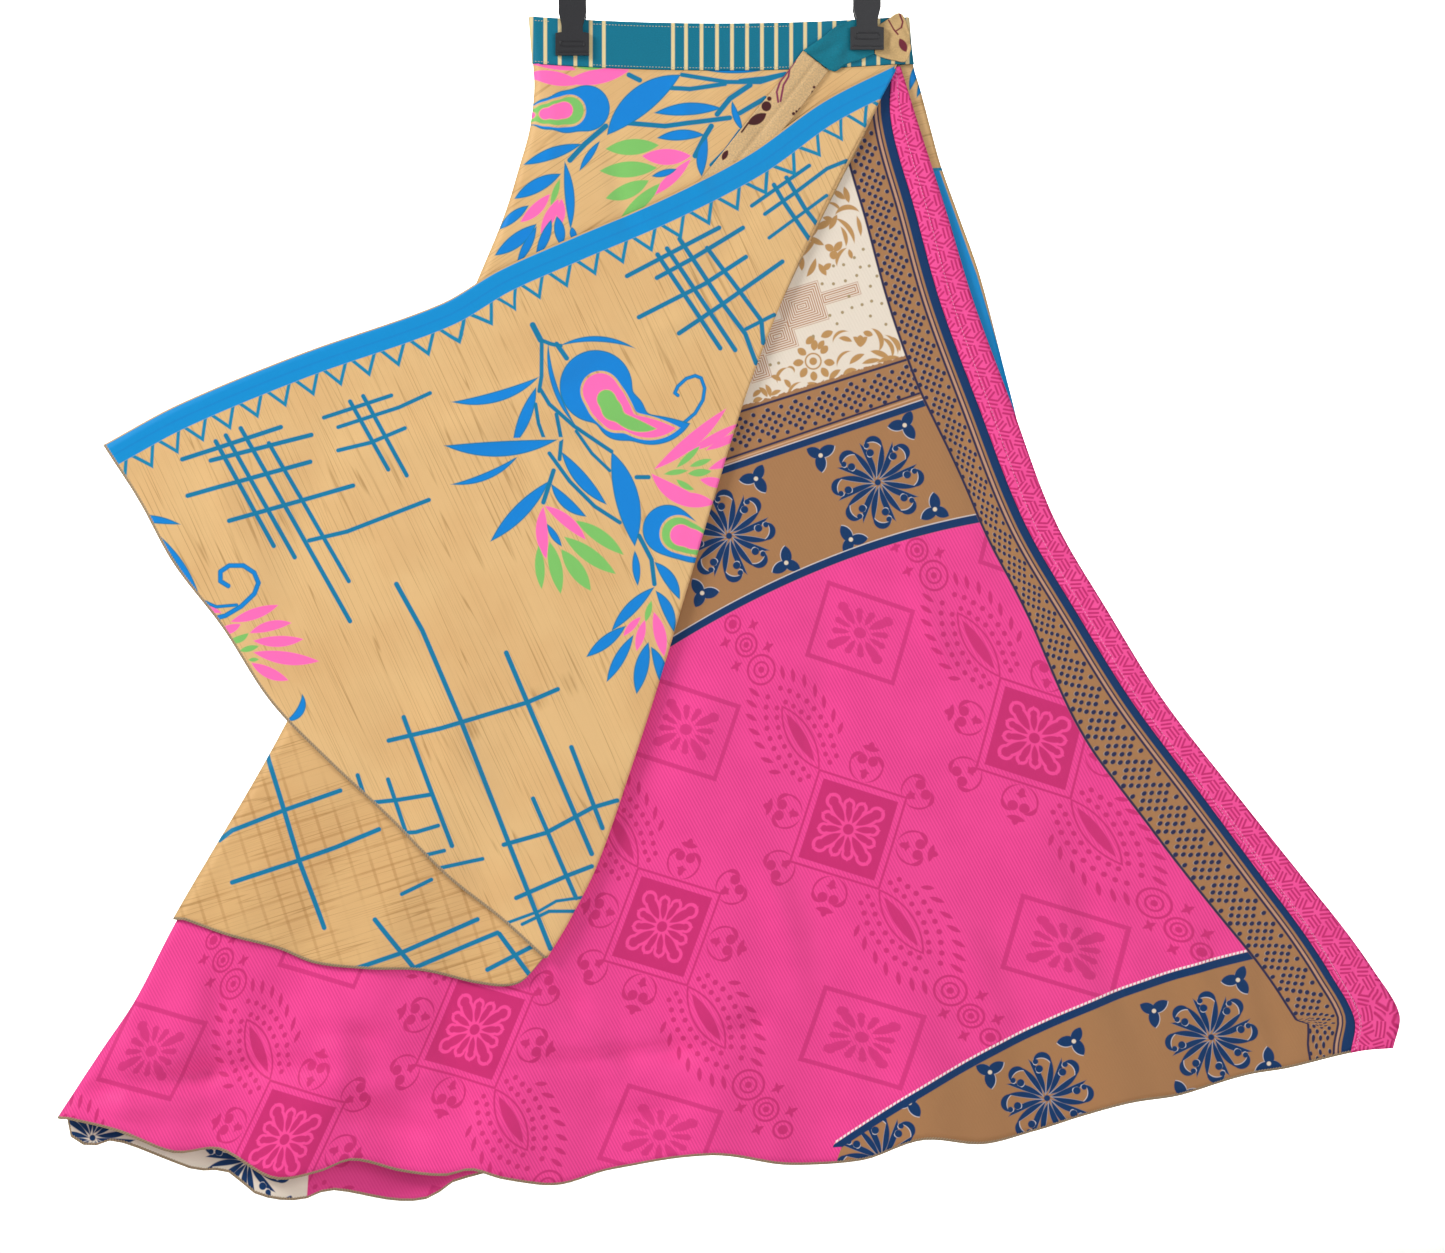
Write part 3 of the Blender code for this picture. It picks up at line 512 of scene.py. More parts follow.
# %% Tie, in the stretches that show
def strip_between(name, upper, lower, steps, rows, lift):
    """A strip of cloth between two edge lines, each a table of (share along, across, drop)."""
    share = np.linspace(0, 1, steps + 1)[None, :] + np.zeros((rows + 1, 1))
    side = np.linspace(0, 1, rows + 1)[:, None] + np.zeros((1, steps + 1))
    top = [read_off(upper, n, share) for n in (1, 2)]
    foot = [read_off(lower, n, share) for n in (1, 2)]
    across, drop = (top[n] + (foot[n] - top[n]) * side for n in (0, 1))
    layer = -lift(share, side, across, drop) / pitch(drop)
    return cloth_wall(name, [(0, across, drop, layer, ())], SILK)


def gold_lift(share, side, across, drop):
    """The gold stretch is folded once along its middle and rolls up at its edges."""
    crease = np.exp(-(((side - 0.52) / 0.07) ** 2))
    return TIE_LIFT + 0.5 + 0.9 * np.sin(math.pi * side) - 0.9 * crease + 0.35 * np.sin(9 * share + 4 * side)


def flat_lift(share, side, across, drop):
    """Teal and root stretches lie flat where the clip grips them and puff out beside it."""
    free = smooth_step((np.abs(across - 124) - 15) / 8)
    gather = np.sin(side * 9 + share * 5) * 0.7 + np.sin(side * 17 - share * 7) * 0.35
    return 1.1 + fold_depth(across, drop) + free * (0.9 + gather)


# The gold stretch: (share along, across, drop, half width); the edges of the others: (share, across, drop)
TIE_GOLD = ((0.0, 81, 38, 13.5), (0.12, 66, 58, 13.5), (0.33, 42, 88, 14.0), (0.55, 16, 120, 13.5),
            (0.77, -10, 152, 13.0), (1.0, -34, 184, 12.5))
way = (-0.62, 0.785)  # the way the gold stretch runs, down to the left
gold_left = tuple((t, x - w * way[1], d + w * way[0]) for t, x, d, w in TIE_GOLD)
gold_right = tuple((t, x + w * way[1], d - w * way[0]) for t, x, d, w in TIE_GOLD)
TEAL_UPPER = ((0, 70.7, 29.3), (0.27, 87, 18), (0.5, 100, 8), (0.7, 112, 4), (1, 129, 5))
TEAL_LOWER = ((0, 92.2, 45.5), (0.15, 98, 46.5), (0.36, 106, 41), (0.66, 118, 37), (1, 130, 32))
ROOT_UPPER = ((0, 130.6, 10), (0.3, 140, 4), (0.6, 150, -2), (0.8, 155, 1), (1, 159, 12))
ROOT_LOWER = ((0, 130.6, 32), (0.22, 137, 35), (0.55, 147, 37.5), (0.86, 157, 38), (1, 161, 28))
tie_gold = strip_between("tie_gold", gold_left, gold_right, 110, 30, gold_lift)
tie_teal = strip_between("tie_teal", TEAL_UPPER, TEAL_LOWER, 50, 30, flat_lift)
tie_root = strip_between("tie_root", ROOT_UPPER, ROOT_LOWER, 34, 34, flat_lift)
print("tie:", count_of(tie_gold) + count_of(tie_teal) + count_of(tie_root), "triangles")

# %% [markdown]
# ## Stitches and the clips' rims
#
# A topstitch holds the band's fold and another holds the facing. Each stitch is one small bead of thread
# that stands proud of the silk. The clips' front jaws are moulded with a raised slot and a ridge below
# it, which catch the light; these stand on the CAD model's plain jaws.


# %% Rows of stitches
def stitched(name, lines, every, length, thread):
    """One piece with a stitch at every so many mm along each line of points, made from rounded beads."""
    beads = bmesh.new()
    size = Matrix.Diagonal((length / 2 * MM, thread / 2 * MM, thread / 2 * MM, 1))
    for points in lines:
        along = np.concatenate([[0], np.cumsum(np.linalg.norm(np.diff(points, axis=0), axis=1))])
        for reach in np.arange(every / 2 * MM, along[-1] - 2 * MM, every * MM):
            spot, ahead = (
                Vector([np.interp(r, along, column) for column in points.T]) for r in (reach, reach + MM)
            )
            turn = (ahead - spot).to_track_quat("X", "Y").to_matrix().to_4x4()
            bead = bmesh.ops.create_icosphere(beads, subdivisions=1, radius=1)
            bmesh.ops.transform(beads, matrix=Matrix.Translation(spot) @ turn @ size, verts=bead["verts"])
    return solid_of(name, beads, smooth=True)


def facing_seam(start, end, top=0.0):
    """Points along the facing, at a share of its width that goes from start to end on the way down."""
    rows, columns = facing_across.shape
    v, row = np.linspace(0, 1, rows), np.arange(rows)
    at = np.clip((start + (end - start) * v) * (columns - 1), 0, columns - 1.001)
    low = at.astype(int)
    part = at - low
    grids = facing_across, facing_drop, facing_puff
    across, drop, puff = (grid[row, low] * (1 - part) + grid[row, low + 1] * part for grid in grids)
    return place(across, drop, INNER_FRONT - (FACING_LIFT + puff) / pitch(drop), out=0.45)[v >= top]


def band_seam(start, end, below, layer, out):
    """Points along the band, this far below its upper edge, which sags between the clips."""
    across = np.linspace(start, end, 160)
    return place(across, below + sagging(across), layer, out=out)


BAND_SEAMS, SEAM_LIFT = (3.4, 37.6), 1.25  # below the band's upper edge, and out from its middle
band_lines = [
    band_seam(start, end, below, BAND_FRONT, SEAM_LIFT)
    for below in BAND_SEAMS for start, end in ((-106, 66), (-155, -140))
]
band_lines += [band_seam(-150, 150, below, BAND_BACK, -SEAM_LIFT) for below in BAND_SEAMS]
band_stitches = stitched("band_topstitch", band_lines, 2.6, 1.9, 0.6)
facing_lines = [facing_seam(0.55, 0.88), facing_seam(-0.07, 0.93, 0.75)]
facing_stitches = stitched("facing_topstitch", facing_lines, 3.0, 2.2, 0.7)
print("stitches:", count_of(band_stitches) + count_of(facing_stitches), "triangles")


# %% Raised slots and ridges on the front jaws
def moulded(name, across, drop, face, slot_height, ridge_drop):
    """A raised slot with round ends and a ridge under it, half sunk into the jaw's front face."""
    made = bmesh.new()
    slot = bmesh.ops.create_cube(made, size=1)["verts"]
    bmesh.ops.scale(made, vec=(21.0, 1.3, slot_height), verts=slot)
    upright = [edge for edge in made.edges if abs(edge.verts[0].co.y - edge.verts[1].co.y) > 0.5]
    round_ends = {"segments": 5, "profile": 0.5, "affect": "EDGES", "material": -1}
    bmesh.ops.bevel(made, geom=upright, offset=0.4 * slot_height, **round_ends)
    front = min(made.faces, key=lambda face: face.calc_center_median().y)
    for inset in (0.8, 0.2):
        bmesh.ops.inset_region(made, faces=[front], thickness=inset, use_even_offset=True)
    bmesh.ops.translate(made, vec=(0, 0.9, 0), verts=front.verts)
    ridge = bmesh.ops.create_cube(made, size=1)["verts"]
    bmesh.ops.scale(made, vec=(25.0, 1.1, 0.9), verts=ridge)
    bmesh.ops.translate(made, vec=(0, 0, drop - ridge_drop), verts=ridge)
    bmesh.ops.translate(made, vec=(across, face, -(HOOK_TO_WAIST + drop)), verts=made.verts)
    bmesh.ops.scale(made, vec=(MM, MM, MM), verts=made.verts)
    obj = solid_of(name, made, smooth=False)
    soften(obj, 0.25)
    return obj


rims = [
    moulded("clip_left_rim", -123.0, 23.9, -10.9, 5.0, 30.6),
    moulded("clip_right_rim", 124.0, 17.6, -12.4, 6.2, 26.0),
]
print("rims:", sum(count_of(rim) for rim in rims), "triangles")

# %% [markdown]
# ## Drawing with shader nodes
#
# A screen print is flat ink with crisp edges, so each print here is drawn as signed distances: how
# far a spot lies outside a shape, in millimetres. Two circles that cross make a leaf, a petal or a
# tapered stem, and a rounded line makes a stripe. The union of shapes is the smallest distance, and
# one mask turns it into ink. The tables that follow hold each shape's own sizes.

# %% One function for nodes, and the shapes that prints are made of
def linear(colour):
    """An sRGB hex colour as linear RGBA."""
    parts = [int(colour[n : n + 2], 16) / 255 for n in (0, 2, 4)]
    return (*[c / 12.92 if c <= 0.04045 else ((c + 0.055) / 1.055) ** 2.4 for c in parts], 1.0)


def node(kind, inputs=(), output=0, tree=None, **settings):
    """Adds one node with its settings. Its kind is Blender's name without ShaderNode, and an operation may
    follow it. Its inputs are a list from the first, or a dict by key; each is a value or another node's
    output, in whose tree it is made."""
    pairs = list(inputs.items() if isinstance(inputs, dict) else enumerate(inputs))
    tree = tree or next(value.id_data for _, value in pairs if isinstance(value, bpy.types.NodeSocket))
    kind, _, operation = kind.partition(" ")
    made = tree.nodes.new(kind if kind.startswith("NodeGroup") else "ShaderNode" + kind)
    for name, value in {"operation": operation, **settings}.items() if operation else settings.items():
        setattr(made, name, value)
    for key, value in pairs:
        if isinstance(value, bpy.types.NodeSocket):
            tree.links.new(value, made.inputs[key])
        else:
            made.inputs[key].default_value = value
    return made.outputs[output] if made.outputs else made


def leaf(spot, x1, y1, x2, y2, left, right):
    """Distance outside a leaf between two tips. It bulges left and right of the line between them,
    seen along that line with y down; a minus hollows that side and gives a tapered bow."""
    length = math.hypot(x2 - x1, y2 - y1)
    normal = (y2 - y1) / length, -(x2 - x1) / length
    sides = []
    for bulge, way in ((left, 1), (right, -1)):
        bulge = bulge or 0.01
        radius = (length**2 / 4 + bulge**2) / (2 * abs(bulge))
        reach = (bulge - radius if bulge > 0 else bulge + radius) * way
        centre = (x1 + x2) / 2 + normal[0] * reach, (y1 + y2) / 2 + normal[1] * reach, 0
        away = node("VectorMath DISTANCE", [spot, centre], 1)
        inputs = {0: away, 1: radius} if bulge > 0 else {0: radius, 1: away}
        sides.append(node("Math SUBTRACT", inputs))
    return node("Math MAXIMUM", [sides[0], sides[1]])


def line(spot, x1, y1, x2, y2, width):
    """Distance outside a straight line of this width with round ends."""
    way = Vector((x2 - x1, y2 - y1, 0))
    off = node("VectorMath SUBTRACT", [spot, (x1, y1, 0)])
    share = node("VectorMath DOT_PRODUCT", [off, way / way.length_squared], 1)
    held = node("Clamp", [share])
    foot = node("VectorMath SCALE", {0: way, "Scale": held})
    away = node("VectorMath DISTANCE", [off, foot], 1)
    return node("Math SUBTRACT", [away, width / 2])


def disc(spot, x, y, radius):
    away = node("VectorMath DISTANCE", [spot, (x, y, 0)], 1)
    return node("Math SUBTRACT", [away, radius])


def outline_of(away, width):
    """Distance outside a line of this width along a shape's outline."""
    off = node("Math ABSOLUTE", [away])
    return node("Math SUBTRACT", [off, width / 2])


def ring(spot, x, y, radius, width):
    return outline_of(disc(spot, x, y, radius), width)


SHAPES = {6: leaf, 5: line, 4: ring, 3: disc}  # a row's length says which shape it is
BLOCKS = {}  # printing blocks made so far, by their rows


def block_of(rows, melt):
    """A node group with up to 16 shapes, as a printer's block holds a few motifs."""
    group = bpy.data.node_groups.new("printing block", "ShaderNodeTree")
    group.interface.new_socket("spot", in_out="INPUT", socket_type="NodeSocketVector")
    group.interface.new_socket("away", in_out="OUTPUT", socket_type="NodeSocketFloat")
    spot = node("NodeGroupInput", tree=group)
    found = SHAPES[len(rows[0])](spot, *rows[0])
    for row in rows[1:]:
        away = SHAPES[len(row)](spot, *row)
        found = node("Math SMOOTH_MIN" if melt else "Math MINIMUM", [found, away, melt])
    node("NodeGroupOutput", [found])
    return group


def nearest(spot, rows, melt=0):
    """Distance outside the union of a table's shapes, which run into each other by melt."""
    found = []
    for start in range(0, len(rows), 16):
        key = rows[start : start + 16], melt
        BLOCKS[key] = BLOCKS.get(key) or block_of(*key)
        found.append(node("Group", [spot], node_tree=BLOCKS[key]))
    return sums("MINIMUM", *found)


def sums(operation, *values):
    """One Math node per step over the values, from the first."""
    found = values[0]
    for value in values[1:]:
        found = node("Math", [found, value], operation=operation)
    return found


def beyond(spot, x1, y1, x2, y2):
    """Distance below a line that runs to the right between two places."""
    length = math.hypot(x2 - x1, y2 - y1)
    below = -(y2 - y1) / length, (x2 - x1) / length, 0
    reach = node("VectorMath DOT_PRODUCT", [spot, below], 1)
    return node("Math SUBTRACT", [reach, x1 * below[0] + y1 * below[1]])


def box(spot, x, y, half_x, half_y, turn=0.0):
    """Distance outside a box round (x, y), turned by degrees."""
    own = node(
        "Mapping", {0: spot, "Location": (x, y, 0), "Rotation": (0, 0, math.radians(turn))},
        vector_type="TEXTURE",
    )
    size = node("VectorMath ABSOLUTE", [own])
    over = node("VectorMath SUBTRACT", [size, (half_x, half_y, 0)])
    side = node("SeparateXYZ", [over])
    return sums("MAXIMUM", side, side.node.outputs[1])


def reaching(rows, tile):
    """The table's shapes that come within 8 mm of a tile (left, top, right, bottom), or all without one.
    Cycles works out every shape of a material at every hit, so a material holds only what it needs."""
    kept = []
    for row in rows:
        places = row[:4] if len(row) > 4 else row[:2] * 2
        size = 8 + max(abs(v) for v in row[4:] or row[-1:])
        low = [min(places[n], places[n + 2]) - size for n in (0, 1)]
        high = [max(places[n], places[n + 2]) + size for n in (0, 1)]
        if not tile or (low[0] < tile[2] and high[0] > tile[0] and low[1] < tile[3] and high[1] > tile[1]):
            kept.append(row)
    return tuple(kept)


def ink(away, inset=0.0, soft=0.4):
    """1 inside the shape and 0 outside, with a soft edge; inset keeps that far inside its outline."""
    return node("Math MULTIPLY_ADD", [away, -0.5 / soft, 0.5 - inset * 0.5 / soft], use_clamp=True)


def printed(under, over, mask):
    """One colour printed over another; a colour may be hex or another node's output."""
    colours = [linear(c) if isinstance(c, str) else c for c in (under, over)]
    return node("Mix", {0: mask, 6: colours[0], 7: colours[1]}, 2, data_type="RGBA")


def motif(spot, colour, rows, fill, outline=None, line_width=0.9, tile=None):
    """A table's shapes printed over a colour, with an outline or without."""
    rows = reaching(rows, tile)
    if not rows:
        return colour
    away = nearest(spot, rows)
    if outline:
        colour = printed(colour, outline, ink(away))
    return printed(colour, fill, ink(away, line_width if outline else 0))


def repeated(spot, origin, first, second):
    """The spot as seen from the nearest repeat of a lattice with these two steps."""
    turn = first[0] * second[1] - first[1] * second[0]
    off = node("VectorMath SUBTRACT", [spot, (*origin, 0)])
    shares = [
        node("VectorMath DOT_PRODUCT", [off, way], 1)
        for way in ((second[1] / turn, -second[0] / turn, 0), (-first[1] / turn, first[0] / turn, 0))
    ]
    share = node("CombineXYZ", [shares[0], shares[1]])
    held = node("VectorMath WRAP", [share, (0.5,) * 3, (-0.5,) * 3])
    sides = [node("VectorMath DOT_PRODUCT", [held, (first[n], second[n], 0)], 1) for n in (0, 1)]
    return node("CombineXYZ", [sides[0], sides[1]])


def spokes(spot, count, start):
    """The spot turned back into one sector of a rosette, which starts at this angle in degrees."""
    across = node("SeparateXYZ", [spot])
    angle = node("Math ARCTAN2", [across.node.outputs[1], across])
    low = math.radians(start)
    held = node("Math WRAP", [angle, low + 2 * math.pi / count, low])
    reach = node("VectorMath LENGTH", [spot], 1)
    sides = [sums("MULTIPLY", reach, node("Math", [held], operation=kind)) for kind in ("COSINE", "SINE")]
    return node("CombineXYZ", [sides[0], sides[1]])


def start_material(name, roughness, maps=("print",), **shader_values):
    """A material with one Principled shader, and each map of the piece as millimetres."""
    material = bpy.data.materials.new(name)
    material.use_nodes = True
    tree = material.node_tree
    shader = tree.nodes["Principled BSDF"]
    shader.inputs["Roughness"].default_value = roughness
    for key, value in shader_values.items():
        shader.inputs[key.replace("_", " ")].default_value = value
    spots = []
    for uv_map in maps:
        uv = node("UVMap", tree=tree, uv_map=uv_map)
        spots.append(node("Mapping", {0: uv, "Scale": (1000, 1000, 1000)}))
    return material, shader, *spots


def overlocked(hem, colour, thread="A58F72"):
    """An overlocked edge, 2.6 mm deep: slanting threads over the cut edge, 2.4 mm apart."""
    along = node("SeparateXYZ", [hem])
    up = along.node.outputs[1]
    slant = node("Math MULTIPLY_ADD", [up, 0.5, along])
    swing = node("Math PINGPONG", [slant, 1.2])
    threads = printed(thread, "7F6C54", ink(sums("SUBTRACT", swing, 0.35), 0, 0.25))
    teeth = node("Math MULTIPLY_ADD", [swing, 0.7, 1.9])
    return printed(colour, threads, ink(sums("SUBTRACT", up, teeth), 0, 0.25))


def finish_cloth(shader, colour, height, strength):
    """Links the print's colour and the weave's height, in mm, to the shader."""
    links = shader.id_data.links
    links.new(colour, shader.inputs["Base Color"])
    bump = node("Bump", {"Height": height, "Strength": strength, "Distance": MM})
    links.new(bump, shader.inputs["Normal"])


print("shapes:", [shape.__name__ for shape in SHAPES.values()])

# %% [markdown]
# ## Gold silk
#
# The gold sari is a tussar-like silk. Its threads swell and thin, which shows as short brown hairlines
# along one direction, and a faint check is woven in. Over this ground the blue, green and pink flowers
# and the open blue lattices are printed, and the panel's edge has a plain blue border with a zigzag.


# %% Gold ground with its slubs
def gold_ground(spot, turn, tone="D9B27B", plaid=0.0):
    """The unprinted gold silk: its colour, and its slubs as height. turn is how its threads run."""
    turned_spot = node("Mapping", {0: spot, "Rotation": (0, 0, math.radians(turn))})
    # Long grain lines: contours of a slow noise, which swerve and close up as a hand-reeled thread does
    slow = node("Mapping", {0: turned_spot, "Scale": (0.11, 0.0022, 1)})
    grain = node("TexNoise", {"Vector": slow, "Scale": 1.0, "Detail": 0.0}, 0)
    grain = node("Math PINGPONG", [sums("MULTIPLY", grain, 8.0), 0.5])
    long = node("Mapping", {0: turned_spot, "Scale": (0.6, 0.012, 1)})
    slub = node("TexNoise", {"Vector": long, "Scale": 1.0, "Detail": 1.5}, 0)
    cloud = node("TexNoise", {"Vector": spot, "Scale": 0.012, "Detail": 3.0}, 0)
    lines = node("MapRange", [grain, 0.03, 0.1, 0.5, 0.0])
    lines = sums("MULTIPLY", lines, node("MapRange", [slub, 0.4, 0.6, 0.25, 1.0]))
    strokes = node("MapRange", [slub, 0.58, 0.75, 0.0, 0.16])
    warm = node("MapRange", [cloud, 0.42, 0.66, 0.0, 0.4])
    colour = printed(tone, "CB9C66", warm)
    if plaid:
        # Two sets of soft brown bars are woven in; they fade out where the cloth was washed most
        for way, step, wide in (((0.953, -0.302, 0), 8.2, 1.25), ((0.302, 0.953, 0), 9.6, 1.0)):
            across = node("VectorMath DOT_PRODUCT", [spot, way], 1)
            across = node("Math PINGPONG", [across, step])
            bars = ink(sums("SUBTRACT", across, wide), 0, 0.5)
            fade = node("MapRange", [cloud, 0.38, 0.55, 0.1 * plaid, plaid])
            colour = printed(colour, "A87B45", sums("MULTIPLY", bars, fade))
    colour = printed(colour, "99713C", lines)
    colour = printed(colour, "96703F", strokes)
    return colour, slub


# Printed silk: a soft satin shine with a little fuzz at grazing angles
SILK_SHINE = {"Sheen_Weight": 0.08, "Sheen_Roughness": 0.4, "Specular_IOR_Level": 0.2}
print("gold ground ready; silk's shine", SILK_SHINE)


# %% [markdown]
# ## The flowers and lattices of the gold print
#
# Sprays of mango shapes, lotus flowers and long leaves are common on printed silk. Each is set down
# here from leaves and bows of round sizes, at the place and scale that the photo shows, not traced.

# %% Tables of the gold print: (x, y, x, y, left, right) a leaf, (x, y, x, y, width) a line, (x, y, radius)
def strokes(rows):
    """Lines from place to place for each row of (width, x, y, x, y, ...)."""
    return tuple((*row[n : n + 4], row[0]) for row in rows for n in range(1, len(row) - 3, 2))


BLUE_INK, LINE_INK, PINK_INK, GREEN_INK = "037DCE", "08749C", "F868B2", "78BC62"
OUTLINE = 0.9  # the usual width of an outline
RING_MELT, CORE_MELT = 9, 7  # how far the discs of a mango run into each other
FLAP_LATTICE = strokes((
    (3.9, -449.5, 372, -421.5, 363, -367, 345), (3.9, -425.5, 373, -341.5, 351.5),
    (3.9, -445, 402.5, -342.5, 374), (3.9, -410, 423.5, -306.5, 394),
    (3.7, -343.5, 440, -311.5, 432.5, -243, 406), (3.9, -421.5, 357, -373, 444.5),
    (3.9, -413, 352, -355.5, 454), (3.9, -400.5, 346, -309, 507.5), (3.7, -377, 358.5, -310, 474),
    (3.5, -331, 337, -274.5, 318.5), (3.4, -319, 345, -268, 328.5, -242, 316.5),
    (3.5, -319, 364.5, -291.5, 358, -263, 346), (3.7, -309, 323.5, -277, 380.5),
    (3.7, -298, 319, -261.5, 385.5), (4.2, -270, 476.5, -248.5, 515, -215, 593, -175.5, 694, -141, 781),
    (3.9, -276.5, 607.5, -232, 597, -160.5, 575.5, -135, 564.5), (4, -264, 588, -223.5, 695.5),
    (4.2, -178, 534, -160.5, 575.5, -106.5, 702), (4, -123.5, 613, -97.5, 680.5),
    (3.9, -155.5, 656, -119.5, 739), (3.9, -180, 694.5, -144.5, 684.5, -106, 663.5, -85.5, 657.5),
    (3.9, -169.5, 739, -127.5, 720.5, -106.5, 712.5), (2.7, -184, 762.5, -150.5, 750, -136, 741.5, -115, 738.5),
    (3, -164.5, 761, -142, 750, -121, 750), (3.7, -302.5, 636.5, -292.5, 668.5), (3.7, -277, 640, -253, 710),
    (3.7, -295.5, 660, -268, 657, -241, 652.5), (3.5, -279, 685.5, -253.5, 684, -235, 678.5),
    (3.4, -255.5, 705.5, -230, 699.5), (3.4, -245.5, 716.5, -198, 706.5), (3.9, -77, 218.5, 0, 178),
    (3.9, -52, 220, -22.5, 204, 20, 178), (3.9, -67, 253, -12, 225, 22.5, 202.5),
    (3.9, -33.5, 266.5, 3, 242, 53, 206.5), (3.4, 22.5, 263, 46, 251), (4, -51.5, 200.5, 1, 279),
    (4, -43.5, 195.5, 13.5, 280.5), (4, -33, 187.5, 2.5, 241, 22, 267, 31, 291.5),
    (3.9, -10, 195, 17, 231, 35.5, 256, 37, 274.5), (3.4, 27.5, 159.5, 75.5, 126),
    (3.4, 38.5, 166.5, 64, 148.5, 90.5, 128.5, 106.5, 122), (3, 42, 186.5, 90, 151),
    (3.9, 46, 142, 54.5, 157, 75.5, 187.5), (3.9, 56.5, 136, 72, 162, 81.5, 174.5),
))
FLAP_STEMS = strokes((
    (5, -156, 259.5, -149.5, 272), (3.4, -148.5, 273, -148.5, 302.5, -150.5, 315),
    (3.2, -153.5, 326, -151, 342, -146, 356), (3.4, -149.5, 313.5, -142, 326, -121, 344.5, -90, 365.5),
    (3.4, -136, 334.5, -132, 355.5, -133.5, 372), (2.9, -119.5, 348.5, -106.5, 367, -91.5, 381.5),
    (3.4, -142, 367, -125, 390.5, -104, 411.5, -83, 425), (3.9, -138.5, 381.5, -147, 408),
    (4.2, -136, 275.5, -127.5, 287.5), (3.7, -69, 387, -59, 387), (3.9, -67, 436, -56.5, 456, -54, 476.5),
    (3.4, -149.5, 272, -140.5, 275.5, -132.5, 277),
))
FLAP_LEAVES = (
    (-486, 424, -434, 490, 8.6, 6.5), (-224, 324, -150.5, 303, -1.7, 10.9), (-153, 311.5, -173, 361, 5.9, 4.2),
    (-143, 274, -119.5, 344.5, -4.2, 8.8), (-132, 365.5, -94, 410, 3.4, 7.6),
    (-90, 365.5, -70.5, 445, 13.4, 6.7), (-70.5, 448.5, -68, 478, 3.4, 3.4),
    (-140.5, 392.5, -111, 420, 1.7, 7.6), (-142, 390, -191.5, 441, 6.7, 5.9),
    (-133.5, 277, -70.5, 279, 9.2, -4.2), (-144, 426, -131.5, 445, 2.5, 3.4), (-54, 458, -33, 489.5, 7.6, 2.5),
    (-53, 482, -38, 516.5, 7.6, 1.7), (-54, 479, -90, 516, 3.4, 6.7), (-78, 511.5, -111, 537.5, 5, 5),
    (-71.5, 519, -94, 558.5, 4.2, 5), (-59, 525, -69, 568.5, 5, 6.7), (-57, 529, -48, 562, 7.6, 1.7),
)
FLAP_OVER_LEAF = ((-230, 360.5, -135, 355.5, 1.3, 11.8),)
FLAP_TAIL_LEAF = ((-224.5, 393, -168, 369, -2.1, 8.4),)
FLAP_CURL = strokes((
    (3.2, -30, 342, -20, 333.5, -13.5, 322.5, -12, 312.5, -15, 304, -20, 302, -27.5, 304.5, -34.5, 311,
     -37, 316.5, -34.5, 318.5),
))
FLAP_PINK = (
    (-54.5, 380.5, 6, 329.5, 3.4, 7.6), (-26, 365.5, 16, 342, 2.5, 5), (-11, 364.5, 22, 348.5, 3.4, 3.4),
    (-9, 380.5, 27.5, 365.5, 4.2, 4.2), (-56.5, 384, -6, 410, 0.8, 12.6), (-24.5, 400, -2.5, 410, 2.5, 3.4),
    (-16, 389, 9, 394, 4.2, 4.2), (-147, 411.5, -144.5, 455.5, 2.5, 7.6), (-146, 411, -111.5, 439.5, 6.7, 2.5),
    (-65.5, 504, -80, 520, 2.5, 3.4), (-62, 506.5, -69, 532.5, 3.4, 3.8), (-54.5, 500, -46, 537, 5.9, 4.2),
    (-436, 494, -416.5, 500.5, 2.5, 2.5), (-409, 508, -369, 494, 4.2, 5), (-421, 516.5, -400.5, 510, 2.5, 5),
    (-393, 517.5, -358, 509, 5.9, 2.5), (-390, 524, -348, 522.5, 3.4, 5.9), (-390, 533.5, -335, 541, 4.2, 6.7),
    (-391.5, 542.5, -360.5, 557, 3.4, 5.9), (-358, 603, -349.5, 602.5, 2.5, 0.8),
)
FLAP_GREEN = (
    (-35.5, 379, -16, 361, 2.5, 2.9), (-24.5, 378, -6.5, 372, 2.5, 2.5), (-46, 384.5, -26, 381.5, 2.5, 2.1),
    (-26, 384, -6.5, 382, 2.9, 3.4), (-35.5, 389, -21, 397.5, 1.7, 3.4), (-151, 444.5, -148.5, 480.5, 3.8, 4.2),
    (-142, 441, -132.5, 484.5, 5.9, 5), (-132, 447.5, -107.5, 482, 6.7, 5.9),
    (-129.5, 437, -86.5, 468, 5.9, 5.9), (-120, 423.5, -80, 452, 6.7, 4.2),
    (-56.5, 490.5, -61.5, 508, 2.5, 2.5), (-411.5, 524, -394, 517.5, 0.8, 5),
    (-401.5, 532.5, -385.5, 528.5, 2.5, 2.5), (-394, 540, -385.5, 539.5, 1.7, 1.7),
)
FLAP_LEFT = (
    (-499, 421, -451, 426.5, 5, 1.7), (-486.5, 429, -444.5, 481.5, 7.6, 1.7),
    (-349, 568.5, -363, 591, 9.5, -2.5),
)
FLAP_LEFT_CURL = strokes((
    (3, -449.5, 475.5, -436, 489, -421, 495.5, -404, 494),
    (4.2, -427.5, 506.5, -413.5, 503, -400, 495, -389, 484.5, -385.5, 475.5, -389, 467, -398, 461, -410, 461,
     -417.5, 466, -417.5, 474, -411, 478),
))
